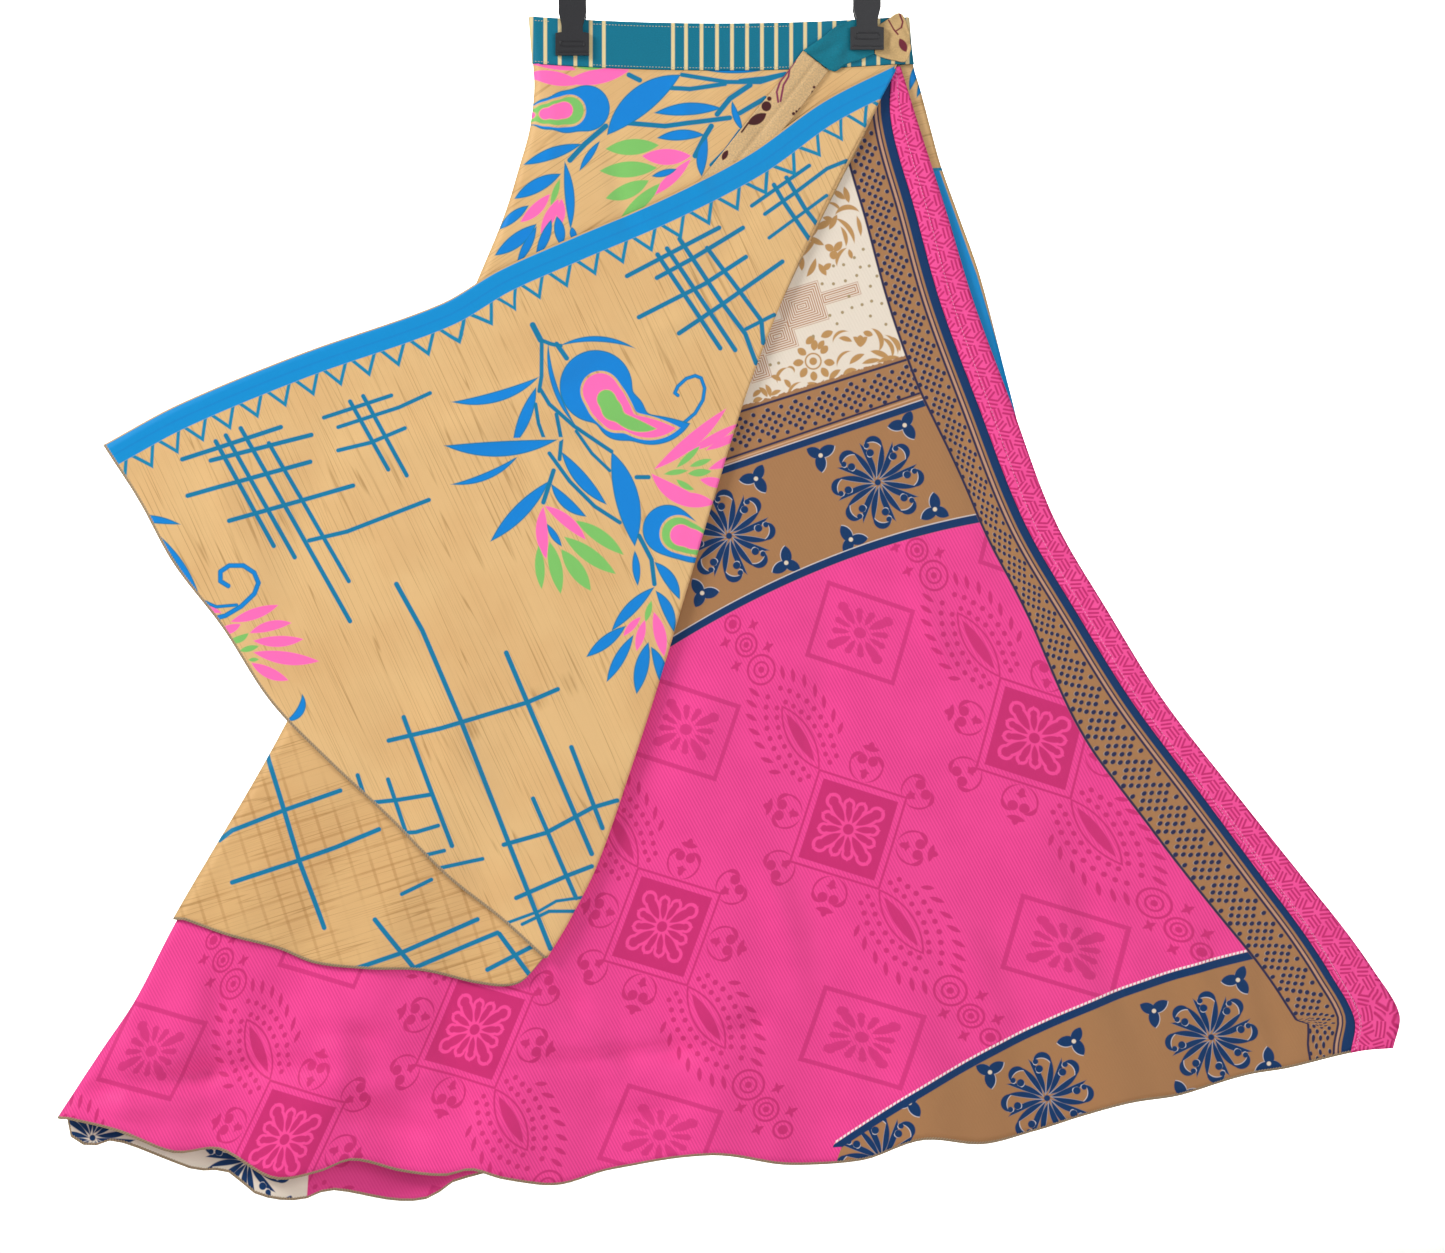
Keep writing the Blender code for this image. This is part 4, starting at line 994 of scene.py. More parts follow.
FRONT_LATTICE = strokes((
    (4.2, -379.5, 618, -364.5, 666, -352, 708, -331, 764.5),
    (3.9, -419, 691.5, -408, 683, -364.5, 666, -317.5, 649.5),
    (4, -408, 726.5, -352, 708, -321, 697, -285, 682), (3.4, -265.5, 736, -241, 724),
    (4, -303, 798, -268, 786, -202.5, 757.5), (4, -255.5, 798, -185.5, 768.5), (4.2, -288, 757.5, -255.5, 798),
    (3.9, -194, 799.5, -153, 778), (4.2, -184, 769.5, -159, 803),
))
FRONT_STEMS = strokes((
    (4.2, -75.5, 49.5, -66.5, 54), (4.6, -95, 92.5, -112.5, 107.5, -125, 121),
    (3.7, -31, 49.5, 6.5, 55.5, 34.5, 55.5, 53, 49.5), (3.9, -40.5, 60.5, -24.5, 61.5, 5, 57),
    (4.6, 26, 58, 9, 69.5, -1.5, 82.5), (4.2, -75.5, 90, -45.5, 92.5, 9, 85.5), (4.2, 17.5, 81.5, 38.5, 69),
    (4.6, -6.5, 92.5, -12, 101.5, -20, 117.5), (3.4, -6.5, 125, 6, 112.5, 17.5, 96.5),
    (3.4, 17.5, 54.5, 38.5, 52, 55.5, 48.5),
))
FRONT_LEAVES = (
    (-32, 49.5, -94, 100, 6.7, 16), (-100, 105, -117, 130, 2.5, 3.4), (-164, 125, -115, 107.5, 5.9, 4.2),
    (-129.5, 122, -124.5, 179, 5.9, 2.5), (-171.5, 153.5, -132.5, 132.5, 6.7, 5),
    (-159.5, 159, -184, 179, 3.4, 5), (-153, 174.5, -188, 201, 6.7, 5), (-153, 176.5, -169.5, 208.5, 4.2, 3.4),
    (-140.5, 170.5, -153.5, 202.5, 5, 3.4), (-136, 168, -132, 193, 5, 4.2), (-123.5, 177, -120, 189, 2.5, 3.4),
    (-54.5, 81.5, 2.5, 77.5, 6.7, 4.2), (11, 71.5, 20, 96.5, 1.7, 4.2), (-52, 102.5, -12, 100, 5.9, 3.4),
    (-10, 101.5, -14.5, 135, 2.5, 6.7), (-56.5, 134.5, -35.5, 128.5, 2.5, 3.4), (-24.5, 42, 41, 44.5, 1.7, 5),
)
FRONT_PINK = (
    (-165.5, 36, -120, 45.5, 6.7, 3.4), (-162, 48, -115, 56.5, 5.9, 5.9), (-129.5, 55.5, -75.5, 46, 5.9, 6.7),
    (-95, 34.5, -75.5, 45.5, 3.4, 2.5), (-142, 149.5, -166.5, 173, 5.9, 3.4),
    (-134.5, 153.5, -149.5, 182.5, 5, 4.2), (-132, 153.5, -132.5, 175.5, 3.4, 4.2),
    (-64.5, 117.5, -23.5, 117.5, 5.9, 7.6), (-56.5, 151, -23.5, 120, 3.4, 5),
)
FRONT_GREEN = (
    (-123.5, 41, -90.5, 41, 3.4, 4.2), (-133.5, 137, -141, 159, 2.5, 2.5), (-95, 111.5, -50.5, 108.5, 6.7, 6.7),
    (-100, 130, -52, 127.5, 6.7, 6.7), (-95, 153, -59, 138, 5, 7.6), (-83, 170.5, -49.5, 140.5, 4.2, 5.9),
)
FLAP_MANGOES = (  # for each: the blue ring's shapes, the next ink and its shapes, the inner ink and its shapes
    (((-103, 311, 30.5), (-82, 335.5, 21), (-92, 335, -24, 342, 4, 21.5)),
     PINK_INK, ((-99.3, 314.7, 14.8), (-93, 325.1, 15.6), (-86, 334.3, 13.6), (-90, 334, -36, 346, 3.5, 13.5)),
     GREEN_INK, ((-94.3, 321.7, 7.6), (-89.5, 330.8, 8.4), (-93, 329, -53, 346.5, 1, 9.5))),
    (((-43, 431, 21), (-32, 437.5, 18), (-21, 444.5, 14.3)),
     GREEN_INK, ((-34, 434.5, 13.8), (-24, 438.5, 12.5), (-14.5, 442.5, 10.1)),
     PINK_INK, ((-32, 435.5, 8.8), (-22, 439, 8.2), (-12.5, 442, 6.7))),
)
FRONT_MANGOES = (
    (((-111, 77.5, 19.5), (-128, 80.5, 18), (-145, 82.5, 13), (-161, 83, 8.5)),
     GREEN_INK, ((-125, 79.5, 11.5), (-136, 81.5, 10.3), (-147, 82.5, 8), (-158, 83.2, 5.5), (-168, 84, 3.5)),
     PINK_INK, ((-129.5, 79, 6.8), (-137, 80.8, 6.2), (-146, 82.3, 4.6), (-157, 83, 2.8))),
)


def sprays(spot, colour, lattice, stems, pink, green, leaves, tile):
    """The print of one side: lattice, stems, flowers and leaves, in that order."""
    for rows, fill in ((lattice, LINE_INK), (stems, LINE_INK), (pink, PINK_INK), (green, GREEN_INK)):
        colour = motif(spot, colour, rows, fill, tile=tile)
    return motif(spot, colour, leaves, BLUE_INK, LINE_INK, tile=tile)


def mangoes(spot, ground, colour, table, tile):
    """Mango shapes: a blue ring, then two inks, each with a fine line of ground round it."""
    for outer_rows, fill, rows, core_fill, core_rows in table:
        if not reaching(outer_rows, tile):
            continue
        away = nearest(spot, outer_rows, RING_MELT)
        colour = printed(colour, LINE_INK, ink(away))
        colour = printed(colour, BLUE_INK, ink(away, OUTLINE))
        for rows, fill, gap in ((rows, fill, -2.0), (core_rows, core_fill, -0.5)):
            away = nearest(spot, rows, CORE_MELT)
            colour = printed(colour, ground, ink(away, gap))
            colour = printed(colour, fill, ink(away))
    return colour


def flap_prints(spot, ground, tile):
    colour = motif(spot, ground, FLAP_TAIL_LEAF, BLUE_INK, LINE_INK, tile=tile)
    colour = sprays(spot, colour, FLAP_LATTICE, FLAP_STEMS, FLAP_PINK, FLAP_GREEN, FLAP_LEAVES, tile)
    if reaching(FLAP_OVER_LEAF, tile):
        over = nearest(spot, FLAP_OVER_LEAF)
        colour = printed(colour, ground, ink(over, -2.0))
    for rows, width in ((FLAP_OVER_LEAF, OUTLINE), (FLAP_LEFT, OUTLINE), (FLAP_LEFT_CURL + FLAP_CURL, 0.8)):
        colour = motif(spot, colour, rows, BLUE_INK, LINE_INK, width, tile)
    return mangoes(spot, ground, colour, FLAP_MANGOES, tile)


def front_prints(spot, ground, tile=None):
    colour = sprays(spot, ground, FRONT_LATTICE, FRONT_STEMS, FRONT_PINK, FRONT_GREEN, FRONT_LEAVES, tile)
    return mangoes(spot, ground, colour, FRONT_MANGOES, tile)


print("lattice lines:", len(FLAP_LATTICE) + len(FRONT_LATTICE), "leaves:", len(FLAP_LEAVES) + len(FRONT_LEAVES))


# %% Gold silk, folded corner, front and back
BORDER_INK, ZIGZAG_INK = "0087C8", "0A7FA6"
BORDER_WIDTH, ZIGZAG_STEP, ZIGZAG_SLOPE, ZIGZAG_DEPTH = 20.5, 25.6, 1.55, 14.5
STRIP_LEAF = ((160, 62, 168, 36, 3.4, 2.5), (166, 68, 174, 44, 2.5, 2.5))  # what shows beside the facing
STRIP_LINE = ((178, 128.5, 192, 127.5, 2.6),)


def flap_material(tile):
    """Screen-printed tussar silk; flat inks leave the slubs standing, so light still breaks on them."""
    material, shader, spot, edge, hem = start_material(
        "screen-printed tussar silk, corner", 0.55, ("print", "border", "hem"), **SILK_SHINE
    )
    colour, weave = gold_ground(spot, 25)
    aside = node("SeparateXYZ", [edge])
    along = aside.node.outputs[1]
    colour = flap_prints(spot, colour, tile)
    # Zigzag under the border: a wave of straight arms
    swing = node("Math PINGPONG", [along, ZIGZAG_STEP / 2])
    depth = sums("SUBTRACT", aside, BORDER_WIDTH)
    arm = node("Math MULTIPLY_ADD", [swing, ZIGZAG_SLOPE, -ZIGZAG_DEPTH])
    off = node("Math ABSOLUTE", [sums("ADD", depth, arm)])
    thin = node("Math MULTIPLY_ADD", [off, 0.55, -1.5])
    outside = node("Math MULTIPLY", [depth, -1.0])
    zigzag = sums("MAXIMUM", thin, outside)
    colour = printed(colour, ZIGZAG_INK, ink(zigzag))
    # Two worn lines run along the blue border, where it was folded
    worn = node("Math COMPARE", [aside, 11.5, 0.8])
    band_colour = printed(BORDER_INK, "0A78C0", sums("MULTIPLY", worn, 0.5))
    colour = printed(colour, band_colour, ink(depth))
    colour = printed(colour, "C9A36B", ink(sums("SUBTRACT", aside, 1.1)))
    colour = overlocked(hem, colour)
    finish_cloth(shader, colour, weave, 0.12)
    return material


def front_material(tile, turn, tone, plaid):
    material, shader, spot, hem = start_material(
        "screen-printed tussar silk, front", 0.55, ("print", "hem"), **SILK_SHINE
    )
    colour, weave = gold_ground(spot, turn, tone, plaid)
    colour = overlocked(hem, front_prints(spot, colour, tile))
    finish_cloth(shader, colour, weave, 0.12)
    return material


def back_material():
    """The back of the gold layer: the same sprays further along, and the blue border of its end."""
    material, shader, spot, hem = start_material(
        "screen-printed tussar silk, back", 0.55, ("print", "hem"), **SILK_SHINE
    )
    colour, weave = gold_ground(spot, -73, "D6AF7A")
    moved = node("Mapping", {0: spot, "Location": (60, -60, 0), "Rotation": (0, 0, 0.5)})
    colour = front_prints(moved, colour)
    corner = node("Mapping", {0: spot, "Location": (170, 40, 0), "Rotation": (0, 0, -0.3)})
    colour = motif(corner, colour, FLAP_LEAVES, BLUE_INK, LINE_INK)
    colour = motif(spot, colour, STRIP_LEAF, BLUE_INK, LINE_INK)
    # The blue border that shows beside the facing: 36 mm wide, from 129 mm down, with gold outside it
    upper, lower = beyond(spot, 186, 132, 216.5, 217), beyond(spot, 216.5, 217, 250, 330)
    inwards = sums("MINIMUM", upper, lower)
    edge, side = sums("MULTIPLY", inwards, -1.0), sums("SUBTRACT", inwards, 36.0)
    top = node("SeparateXYZ", [spot], 1)
    start = node("Math SUBTRACT", [129.0, top])
    colour = printed(colour, BORDER_INK, ink(sums("MAXIMUM", edge, start, side)))
    colour = motif(spot, colour, STRIP_LINE, ZIGZAG_INK)
    colour = overlocked(hem, colour)
    finish_cloth(shader, colour, weave, 0.12)
    return material


print("blue border", BORDER_WIDTH, "mm wide, zigzag step", ZIGZAG_STEP, "mm")

# %% [markdown]
# ## Pink silk
#
# The layer under the gold one is a printed georgette. Its ground has fine slanting lines, and darker pink
# motifs repeat on a slanting lattice: a plain square, a double square with curls at its corners, long
# eyes with rings of dots, and three circles. A sari's end piece follows along the facing: cream, brown and
# navy, with rosettes. Each motif is one small table, wrapped into the cell of the lattice round it.

# %% Tables of the pink print, each round its own centre
MOTIF_STEP = -156.0, 79.0  # from one double square to the next, along the row
ROW_DROP, SQUARE_DROP = 679.0, 339.5  # from row to row of the double squares, and of the plain squares
DOUBLE_SQUARE = 108.4, 682.1  # where one double square stands
SQUARE_TURN = 17.5
CURL = (  # two scrolls that meet as a heart with its cleft away from the square, and the seed between them
    (-17, -2.5, 4, -12.5, 6.6, -4.9), (-3, -14, 6, -4.5, 4.8, -1.3), (1.6, -4.7, 4.2),
    (4, 12.5, -17, 2.5, 6.6, -4.9), (6, 4.5, -3, 14, 4.8, -1.3), (1.6, 4.7, 4.2),
    (-15, 0, -6, 0, 2.6, 2.6), (-8.6, -4.4, -8.6, 4.4, 1.2, 2.2),
)
# The heart beside each side of the double square has a star on top
HEART = CURL + ((9, 0, 17.5, 0, 2.8, 2.8), (12, -7.5, 12, 7.5, 2.4, 2.8))
EYE_AT, EYE_TURN = (42.0, 77.0), 57.5  # an eye's centre from the double square's, and the way it points
EYE_DOTS = (  # one side of the eye, round its own centre; the other side is its mirror image
    (-31.6, 10.8, 2.1), (-23.8, 11.4, 2.1), (-16.1, 13.9, 2.1), (-7.7, 15.5, 2.1), (1.4, 15.6, 2.1),
    (10.3, 14.9, 2.1), (18, 12, 2.1), (25.9, 8.6, 2.1), (32.7, 4.6, 2.1), (-30, 18.5, 2.1), (-21.5, 20.9, 2.2),
    (-13.2, 23.4, 2.2), (-3.8, 24.6, 2.2), (5, 24.3, 2.2), (14.1, 22.9, 2.2), (23, 20.8, 2.2), (31, 16.8, 2.2),
    (38.7, 12.4, 2.2), (45.2, 6.7, 2.2), (-15.6, 29.5, -9, 38.3, 1.9, 1.9), (-4.9, 30.7, 5, 38.3, 1.9, 1.9),
    (9.1, 30.7, 19.6, 36.3, 1.9, 1.9), (21.4, 28.8, 32.1, 34.9, 1.9, 1.9), (33.4, 25.1, 44, 30.7, 1.9, 1.9),
    (42.6, 19.2, 53.9, 24.4, 1.9, 1.9), (49.5, 12.8, 61.3, 17.3, 1.9, 1.9),
)
CIRCLES_AT = 93.0, 152.0
CIRCLES = (
    (-14.4, -17.6, 12.3, 1.9), (-14.4, -17.6, 6.4, 1.7), (-14.4, -17.6, 2.7), (0.2, 3.4, 9.6, 1.9),
    (0.2, 3.4, 5.4, 1.7), (0.2, 3.4, 2.5), (13.6, 21, 7.2, 1.8), (13.6, 21, 3.9),
    (3.6, -11.5, 14, -16.5, 1.8, 1.8), (7.5, -19, 9.5, -9.5, 1.6, 1.6), (14.5, 8, 25, 3, 1.8, 1.8),
    (18, 1, 20.5, 11, 1.6, 1.6), (-25, 4, -15, -1, 1.8, 1.8), (-21, -3.5, -19, 6.5, 1.6, 1.6),
    (-10.5, 22.5, -1, 17.5, 1.8, 1.8), (-7, 15.5, -4.5, 25, 1.6, 1.6),
)


def turned_rows(rows, degrees, x=0.0, y=0.0):
    """A table's shapes turned round its centre, which then stands at (x, y)."""
    c, s = math.cos(math.radians(degrees)), math.sin(math.radians(degrees))
    spun = []
    for row in rows:
        places = 4 if len(row) > 4 else 2
        ends = [(row[n] * c - row[n + 1] * s + x, row[n] * s + row[n + 1] * c + y) for n in range(0, places, 2)]
        spun.append((*[round(v, 2) for pair in ends for v in pair], *row[places:]))
    return tuple(spun)


def quarter(long, short, middle):
    """One quarter of a flower and its middle: a long petal between two short ones. Each is (start, tip,
    bulge, where it is roundest, radius there), so it is pointed at the middle and round outside."""
    long, short = (((a, 0, b, 0, bulge, bulge), (at, 0, radius)) for a, b, bulge, at, radius in (long, short))
    return turned_rows(long, 45) + turned_rows(short, 15) + turned_rows(short, 75) + ((0, 0, middle),)


PLAIN_FLOWER = quarter((8.5, 31.5, 3.7, 26.3, 4.4), (8.5, 23.5, 2.4, 19.8, 2.9), 5.0)
FLOWER = quarter((2, 34.5, 6.3, 27, 6.8), (2, 27, 5.2, 21, 5.1), 6.5)
FLOWER_SEEDS = quarter((7, 31.5, 3.7, 26.6, 4.1), (6, 24, 2.7, 20.3, 2.8), 4.4)
ROSETTE_ARM = (  # one of its eight arms with the curl, as the painted highlight and the navy print over it use it
    (4, -0.8, 33, 3.2, 0.9, 4.0), (31, -11.5, 29.5, 3.2, 8.8, -3.8), (30.8, -9.6, 2.4), (24.7, -6.5, 3.2),
    (0, 0, 2.6),
)
ROSETTE_FEATHER = ((3, 1, 34, 12, 0.6, 4.6),)
TREFOIL = ((50, 0, 66, 0, 4.6, 4.6), (55, -2, 46, 12.5, 4.6, 4.6), (55, 2, 46, -12.5, 4.6, 4.6))
DOTS_STEP, DOTS_HALF = 24.4, 14.6  # along a dotted band, and from its middle line to its edge
BORDER_DOTS = (  # (across the band, along it, radius), one repeat
    (-11.5, -11, 1.8), (-11.5, 13, 1.8), (-7.5, -7.5, 1.8), (-4, -3.5, 1.8), (0, 0, 1.8), (4, 3.5, 1.8),
    (7.5, 7.5, 1.8), (11.5, 11, 1.8), (11.5, -13, 1.8), (-4, 4.5, 1.8), (0, 8, 1.8), (4, 12, 1.8),
    (4, -12.5, 1.8), (7.5, -9, 1.8), (-7.5, 8.5, 1.8), (-4, -12, 1.8), (-4, 12.5, 1.8), (0, -8, 1.8),
    (4, -4.5, 1.8), (-11, 0.5, 1.8), (11, -1, 1.8),
)
CREAM_LEAVES = (
    (95.5, 146, 106, 153.5, 2.5, 2.5), (105, 143, 109, 156.5, 2.5, 2.5), (91, 156.5, 102, 164, 3.6, -0.9),
    (97.5, 166.5, 117.5, 164, 7.2, -2.9), (87, 169, 96.5, 174, 3.6, 1.2), (81, 179, 94.5, 172, 3.6, 2.5),
    (84.5, 167.5, 78.5, 185, 2.5, 2.5), (74, 185, 88, 192, 2.5, 2.5), (92.5, 179, 99, 166.5, 2.5, 2.5),
    (97.5, 169.5, 113.5, 190.5, 6.1, -2), (102, 176.5, 106.5, 193, 3.6, 0), (89, 192, 96.5, 196.5, 3, 3),
    (103, 189, 96.5, 197.5, 3, 3), (96.5, 196.5, 96, 204, 3.6, 3.6), (71, 201, 81.5, 187, 3, 1.2),
    (81, 203, 73.5, 218.5, 3.6, 1.2), (69, 200, 69.5, 213.5, 2.5, 2.5), (83.5, 207.5, 90, 217.5, 2.5, 2.5),
    (87, 213, 94, 207.5, 2.5, 2.5), (107, 194.5, 99, 209.5, -1.5, 4.9), (109, 195.5, 111.5, 203.5, 1.9, 1.9),
    (115.5, 167.5, 119, 184.5, 2.5, 1.2), (79.5, 280.5, 80.5, 271.5, 3, 3), (73, 284, 66, 279, 3, 3),
    (71, 290, 62, 291.5, 3, 3), (73.5, 295, 68.5, 303, 3, 3), (79, 298, 80, 306, 3, 3),
    (86, 295, 91.5, 302.5, 3, 3), (88, 290, 97, 291, 3, 3), (85.5, 283, 91, 276.5, 3, 3),
    (43.5, 302, 52, 306, 3, 1.2), (54.5, 305, 59.5, 312, 3, 1.2), (49, 307.5, 57, 295, 4.9, -2),
    (57, 295, 63, 299, 3.6, -1.5), (28.5, 319.5, 36, 314, 3, 1.2), (28.5, 324, 36.5, 321, 3, 1.2),
    (33.5, 311.5, 40.5, 319.5, 3, 1.2), (39, 309, 43, 319.5, 3, 1.2), (43, 318.5, 52, 314, 2.5, 1.2),
    (58.5, 321, 68.5, 307, 4.9, -2.4), (66, 319.5, 74, 312, 2.5, 1.2), (85.5, 269, 95.5, 264.5, 3, 3),
    (73, 275, 80, 268.5, 3, 3), (83, 279.5, 88, 272, 2.5, 2.5), (95.5, 273.5, 108, 264.5, 4.9, -2.4),
    (92.5, 306, 102, 296.5, 3.6, 1.2), (86.5, 309.5, 97.5, 306, 3, 1.2), (112.5, 269, 119, 277.5, 3.6, 1.2),
    (124.5, 269, 119, 277.5, 1.2, 3.6), (118.5, 277.5, 118.5, 267.5, 3.6, 3.6),
    (100.5, 270, 111.5, 273, 3, 1.2), (128, 262, 134, 281, 7.2, -2.9), (136, 270, 145, 286.5, 6.1, -2.4),
    (139.5, 267.5, 150, 283, 4.9, -2), (145.5, 269, 152, 281, 3, 1.2), (127, 281, 143.5, 287.5, 3.6, 1.2),
    (120, 291.5, 136, 288.5, 3, 1.2), (109.5, 292, 122, 283.5, 3.6, 1.2), (99, 293.5, 110.5, 281, 4.9, -2.4),
    (121, 265, 129, 267.5, 2.5, 2.5), (104, 301, 115.5, 296.5, 3.6, 1.2), (74, 307.5, 86.5, 312, 2.5, 2.5),
    (132.5, 291, 151.5, 286, 3.6, 0.6), (59.5, 324.5, 76.5, 318, 3.6, 0.6), (82, 316, 101.5, 309.5, 3.6, 0.6),
    (107, 307.5, 127, 299, 3.6, 0.6),
)
CREAM_ROUNDS = ((79, 289.5, 3.2), (79, 289.5, 6.5, 1.3))
CREAM_DOTS = (
    (96, 209.5, 1.3), (104.5, 208.5, 1.3), (113.5, 202.5, 1.3), (121, 195.5, 1.3), (86.5, 224.5, 1.3),
    (96, 224.5, 1.3), (106, 222, 1.3), (115.5, 217.5, 1.3), (127, 226.5, 1.3), (118.5, 210.5, 1.3),
    (126, 209.5, 1.3), (103.5, 248.5, 1.3), (111.5, 244.5, 1.3), (120, 242, 1.3), (128, 239, 1.3),
    (127, 251.5, 1.3), (140, 258.5, 1.3), (136.5, 241, 1.3), (93, 251, 1.3), (99, 258, 1.3), (79, 268.5, 1.3),
    (50, 291, 1.3), (43, 292.5, 1.3), (132.5, 218, 1.3), (109, 235, 1.3),
)
STEPPED = (  # boxes: (x, y, half sizes, turn) whose outlines the fine lines of the stepped figure follow
    (101.6, 232.7, 17, 5.5, -17), (69.4, 243.3, 19, 17, -17), (49, 268.5, 15, 13, -17), (33, 295, 9, 11, -17),
)
print("pink tables:", len(HEART) + len(CURL) + len(EYE_DOTS) + len(CIRCLES) + len(CREAM_LEAVES), "shapes")


# %% Pink ground with its lattice of motifs
SQUARE_INK, CREAM = "C2266C", "DFD3C3"
# The last colour is a painted highlight for the upper edge of navy stripes.
BROWN, NAVY, THIN_NAVY, PAINTED_HIGHLIGHT = "A1744C", "00305F", "2A2746", "D2CDD0"


def pink_ground(spot, tone="EB4492"):
    """Pink silk with fine slanting lines, 2.5 mm apart so that they show at this distance."""
    across = node("VectorMath DOT_PRODUCT", [spot, (0.883, -0.469, 0)], 1)
    swing = node("Math PINGPONG", [across, 1.25])
    cloud = node("TexNoise", {"Vector": spot, "Scale": 0.02, "Detail": 2.0}, 0)
    lines = sums("MULTIPLY", ink(sums("SUBTRACT", swing, 0.5), 0, 0.4), cloud, 1.7)
    colour = printed(tone, "D4347F", lines)
    deep = node("MapRange", [cloud, 0.45, 0.7, 0.0, 0.25])
    return printed(colour, "D93A86", deep), swing


def drooped(spot):
    """The spot on the flat cloth: the rows of motifs droop on both sides of the first double square."""
    off = node("VectorMath SUBTRACT", [spot, (DOUBLE_SQUARE[0], 0, 0)])
    aside = node("SeparateXYZ", [off])
    fallen = sums("MULTIPLY", aside, aside, -0.0001025)
    row = node("Math MULTIPLY_ADD", [aside, 0.506, -DOUBLE_SQUARE[1]])
    below = sums("ADD", aside.node.outputs[1], row)
    moved = sums("MULTIPLY", aside, below, -0.00045)
    shift = node("CombineXYZ", [moved, fallen])
    return node("VectorMath ADD", [spot, shift])


def pink_motifs(spot, colour):
    """Every motif of the lattice, each seen from the nearest of its own repeats."""
    (x, y), spot = DOUBLE_SQUARE, drooped(spot)
    near = repeated(spot, (x, y), MOTIF_STEP, (0, ROW_DROP))
    # The curls at two corners are the same turned half round
    side = node("VectorMath DOT_PRODUCT", [near, (0.88, -0.47, 0)], 1)
    side = node("Math SIGN", [side])
    folded = node("VectorMath SCALE", {0: near, "Scale": side})
    found = [nearest(folded, turned_rows(CURL, -26, 61.5, -33))]
    found.append(nearest(spokes(near, 4, -29), turned_rows(HEART, 16, 56.5, 16.2)))
    found.append(outline_of(box(near, 0, 0, 38.5, 40.0, SQUARE_TURN), 1.8))
    for way in (1.0, -1.0):
        for middle in (EYE_AT, CIRCLES_AT):
            at = repeated(spot, (x + way * middle[0], y + way * middle[1]), MOTIF_STEP, (0, ROW_DROP))
            at = node("VectorMath SCALE", {0: at, "Scale": way})
            if middle is CIRCLES_AT:
                found.append(nearest(at, CIRCLES))
                continue
            at = node("Mapping", {0: at, "Rotation": (0, 0, -math.radians(EYE_TURN))})
            sides = node("SeparateXYZ", [at])
            mirrored = node("Math ABSOLUTE", [sides.node.outputs[1]])
            half = node("CombineXYZ", [sides, mirrored])
            lens, core = leaf(half, -31, 0, 31, 0, 10, 10), leaf(half, -24, 0, 24, 0, 4.8, 4.8)
            found += [nearest(half, EYE_DOTS), outline_of(lens, 1.5), core]
    plain = repeated(spot, (x + 10.5, y + 5 + SQUARE_DROP / 2), MOTIF_STEP, (0, SQUARE_DROP))
    frame_line = outline_of(box(plain, 0, 0, 39.7, 31.5, SQUARE_TURN), 3.7)
    squashed = {0: plain, "Rotation": (0, 0, math.radians(SQUARE_TURN)), "Scale": (1.12, 0.89, 1)}
    turned_back = node("Mapping", squashed, vector_type="TEXTURE")
    petals = nearest(spokes(turned_back, 4, 0), PLAIN_FLOWER)
    colour = printed(colour, "CC3078", ink(sums("MINIMUM", frame_line, petals)))
    colour = printed(colour, "C62A70", ink(sums("MINIMUM", *found)))
    colour = printed(colour, SQUARE_INK, ink(box(near, 0, 0, 33.0, 34.5, SQUARE_TURN)))
    turned_near = node("Mapping", {0: near, "Rotation": (0, 0, -math.radians(SQUARE_TURN))})
    flower = spokes(turned_near, 4, 0)
    colour = printed(colour, "EA4490", ink(nearest(flower, FLOWER)))
    return printed(colour, SQUARE_INK, ink(nearest(flower, FLOWER_SEEDS)))


def raised_print(spot, colour, rows, navy=NAVY, highlight_tone="CDC8CC"):
    """Navy ink over a painted highlight: the same shapes in a light tone, a little up and to the left, where
    the raised ink catches the light.
    """
    shifted = node("VectorMath ADD", [spot, (0.5, 0.5, 0)])
    colour = printed(colour, highlight_tone, ink(nearest(shifted, rows), 0.1, 0.3))
    return printed(colour, navy, ink(nearest(spot, rows)))


def rosette_band(spot, colour, at, turn, gap):
    """Rosettes in a row with trefoils between them."""
    own = node(
        "Mapping", {0: spot, "Location": (*at, 0), "Rotation": (0, 0, math.radians(turn))},
        vector_type="TEXTURE",
    )
    along = node("SeparateXYZ", [own])
    step = node("Math WRAP", [along, gap / 2, -gap / 2])
    own = node("CombineXYZ", [step, along.node.outputs[1]])
    # Each shape has a painted highlight up and to the left of it, under its navy ink.
    colour = raised_print(spokes(own, 8, 15), colour, turned_rows(ROSETTE_FEATHER, 20))
    colour = raised_print(spokes(own, 8, -2), colour, turned_rows(ROSETTE_ARM, 20))
    corner = spokes(own, 4, 0)
    colour = raised_print(corner, colour, turned_rows(TREFOIL, 45))
    return printed(colour, "D9C9B4", ink(nearest(corner, turned_rows(((53.0, 0, 1.8),), 45))))


def dotted_band(across, along, colour, shift=0.0):
    """The dots of a brown band; across is 0 on its middle line."""
    step = [sums("ADD", along, shift), DOTS_STEP / 2, -DOTS_STEP / 2]
    step = node("Math WRAP", step)
    spot = node("CombineXYZ", [across, step])
    # Each dot has a painted highlight up and to the left of it, under its navy ink.
    return raised_print(spot, colour, BORDER_DOTS, "23274A", "A8968A")


print("pink lattice: steps of", MOTIF_STEP, "mm, rows", ROW_DROP, "mm apart")


# %% Cream panel with scrolls and the stepped figure
def cream_panel(spot):
    found = [box(spot, *row) for row in STEPPED]
    inside = sums("MINIMUM", *found)
    swing = node("Math PINGPONG", [inside, 0.95])
    lines = sums("MULTIPLY", ink(sums("SUBTRACT", swing, 0.42), 0, 0.35), ink(inside))
    colour = printed(CREAM, "AA7049", sums("MULTIPLY", lines, 0.95))
    colour = motif(spot, colour, CREAM_LEAVES, "B58A55")
    colour = motif(spot, colour, CREAM_ROUNDS, "B58A55")
    return motif(spot, colour, CREAM_DOTS, "A08C66")


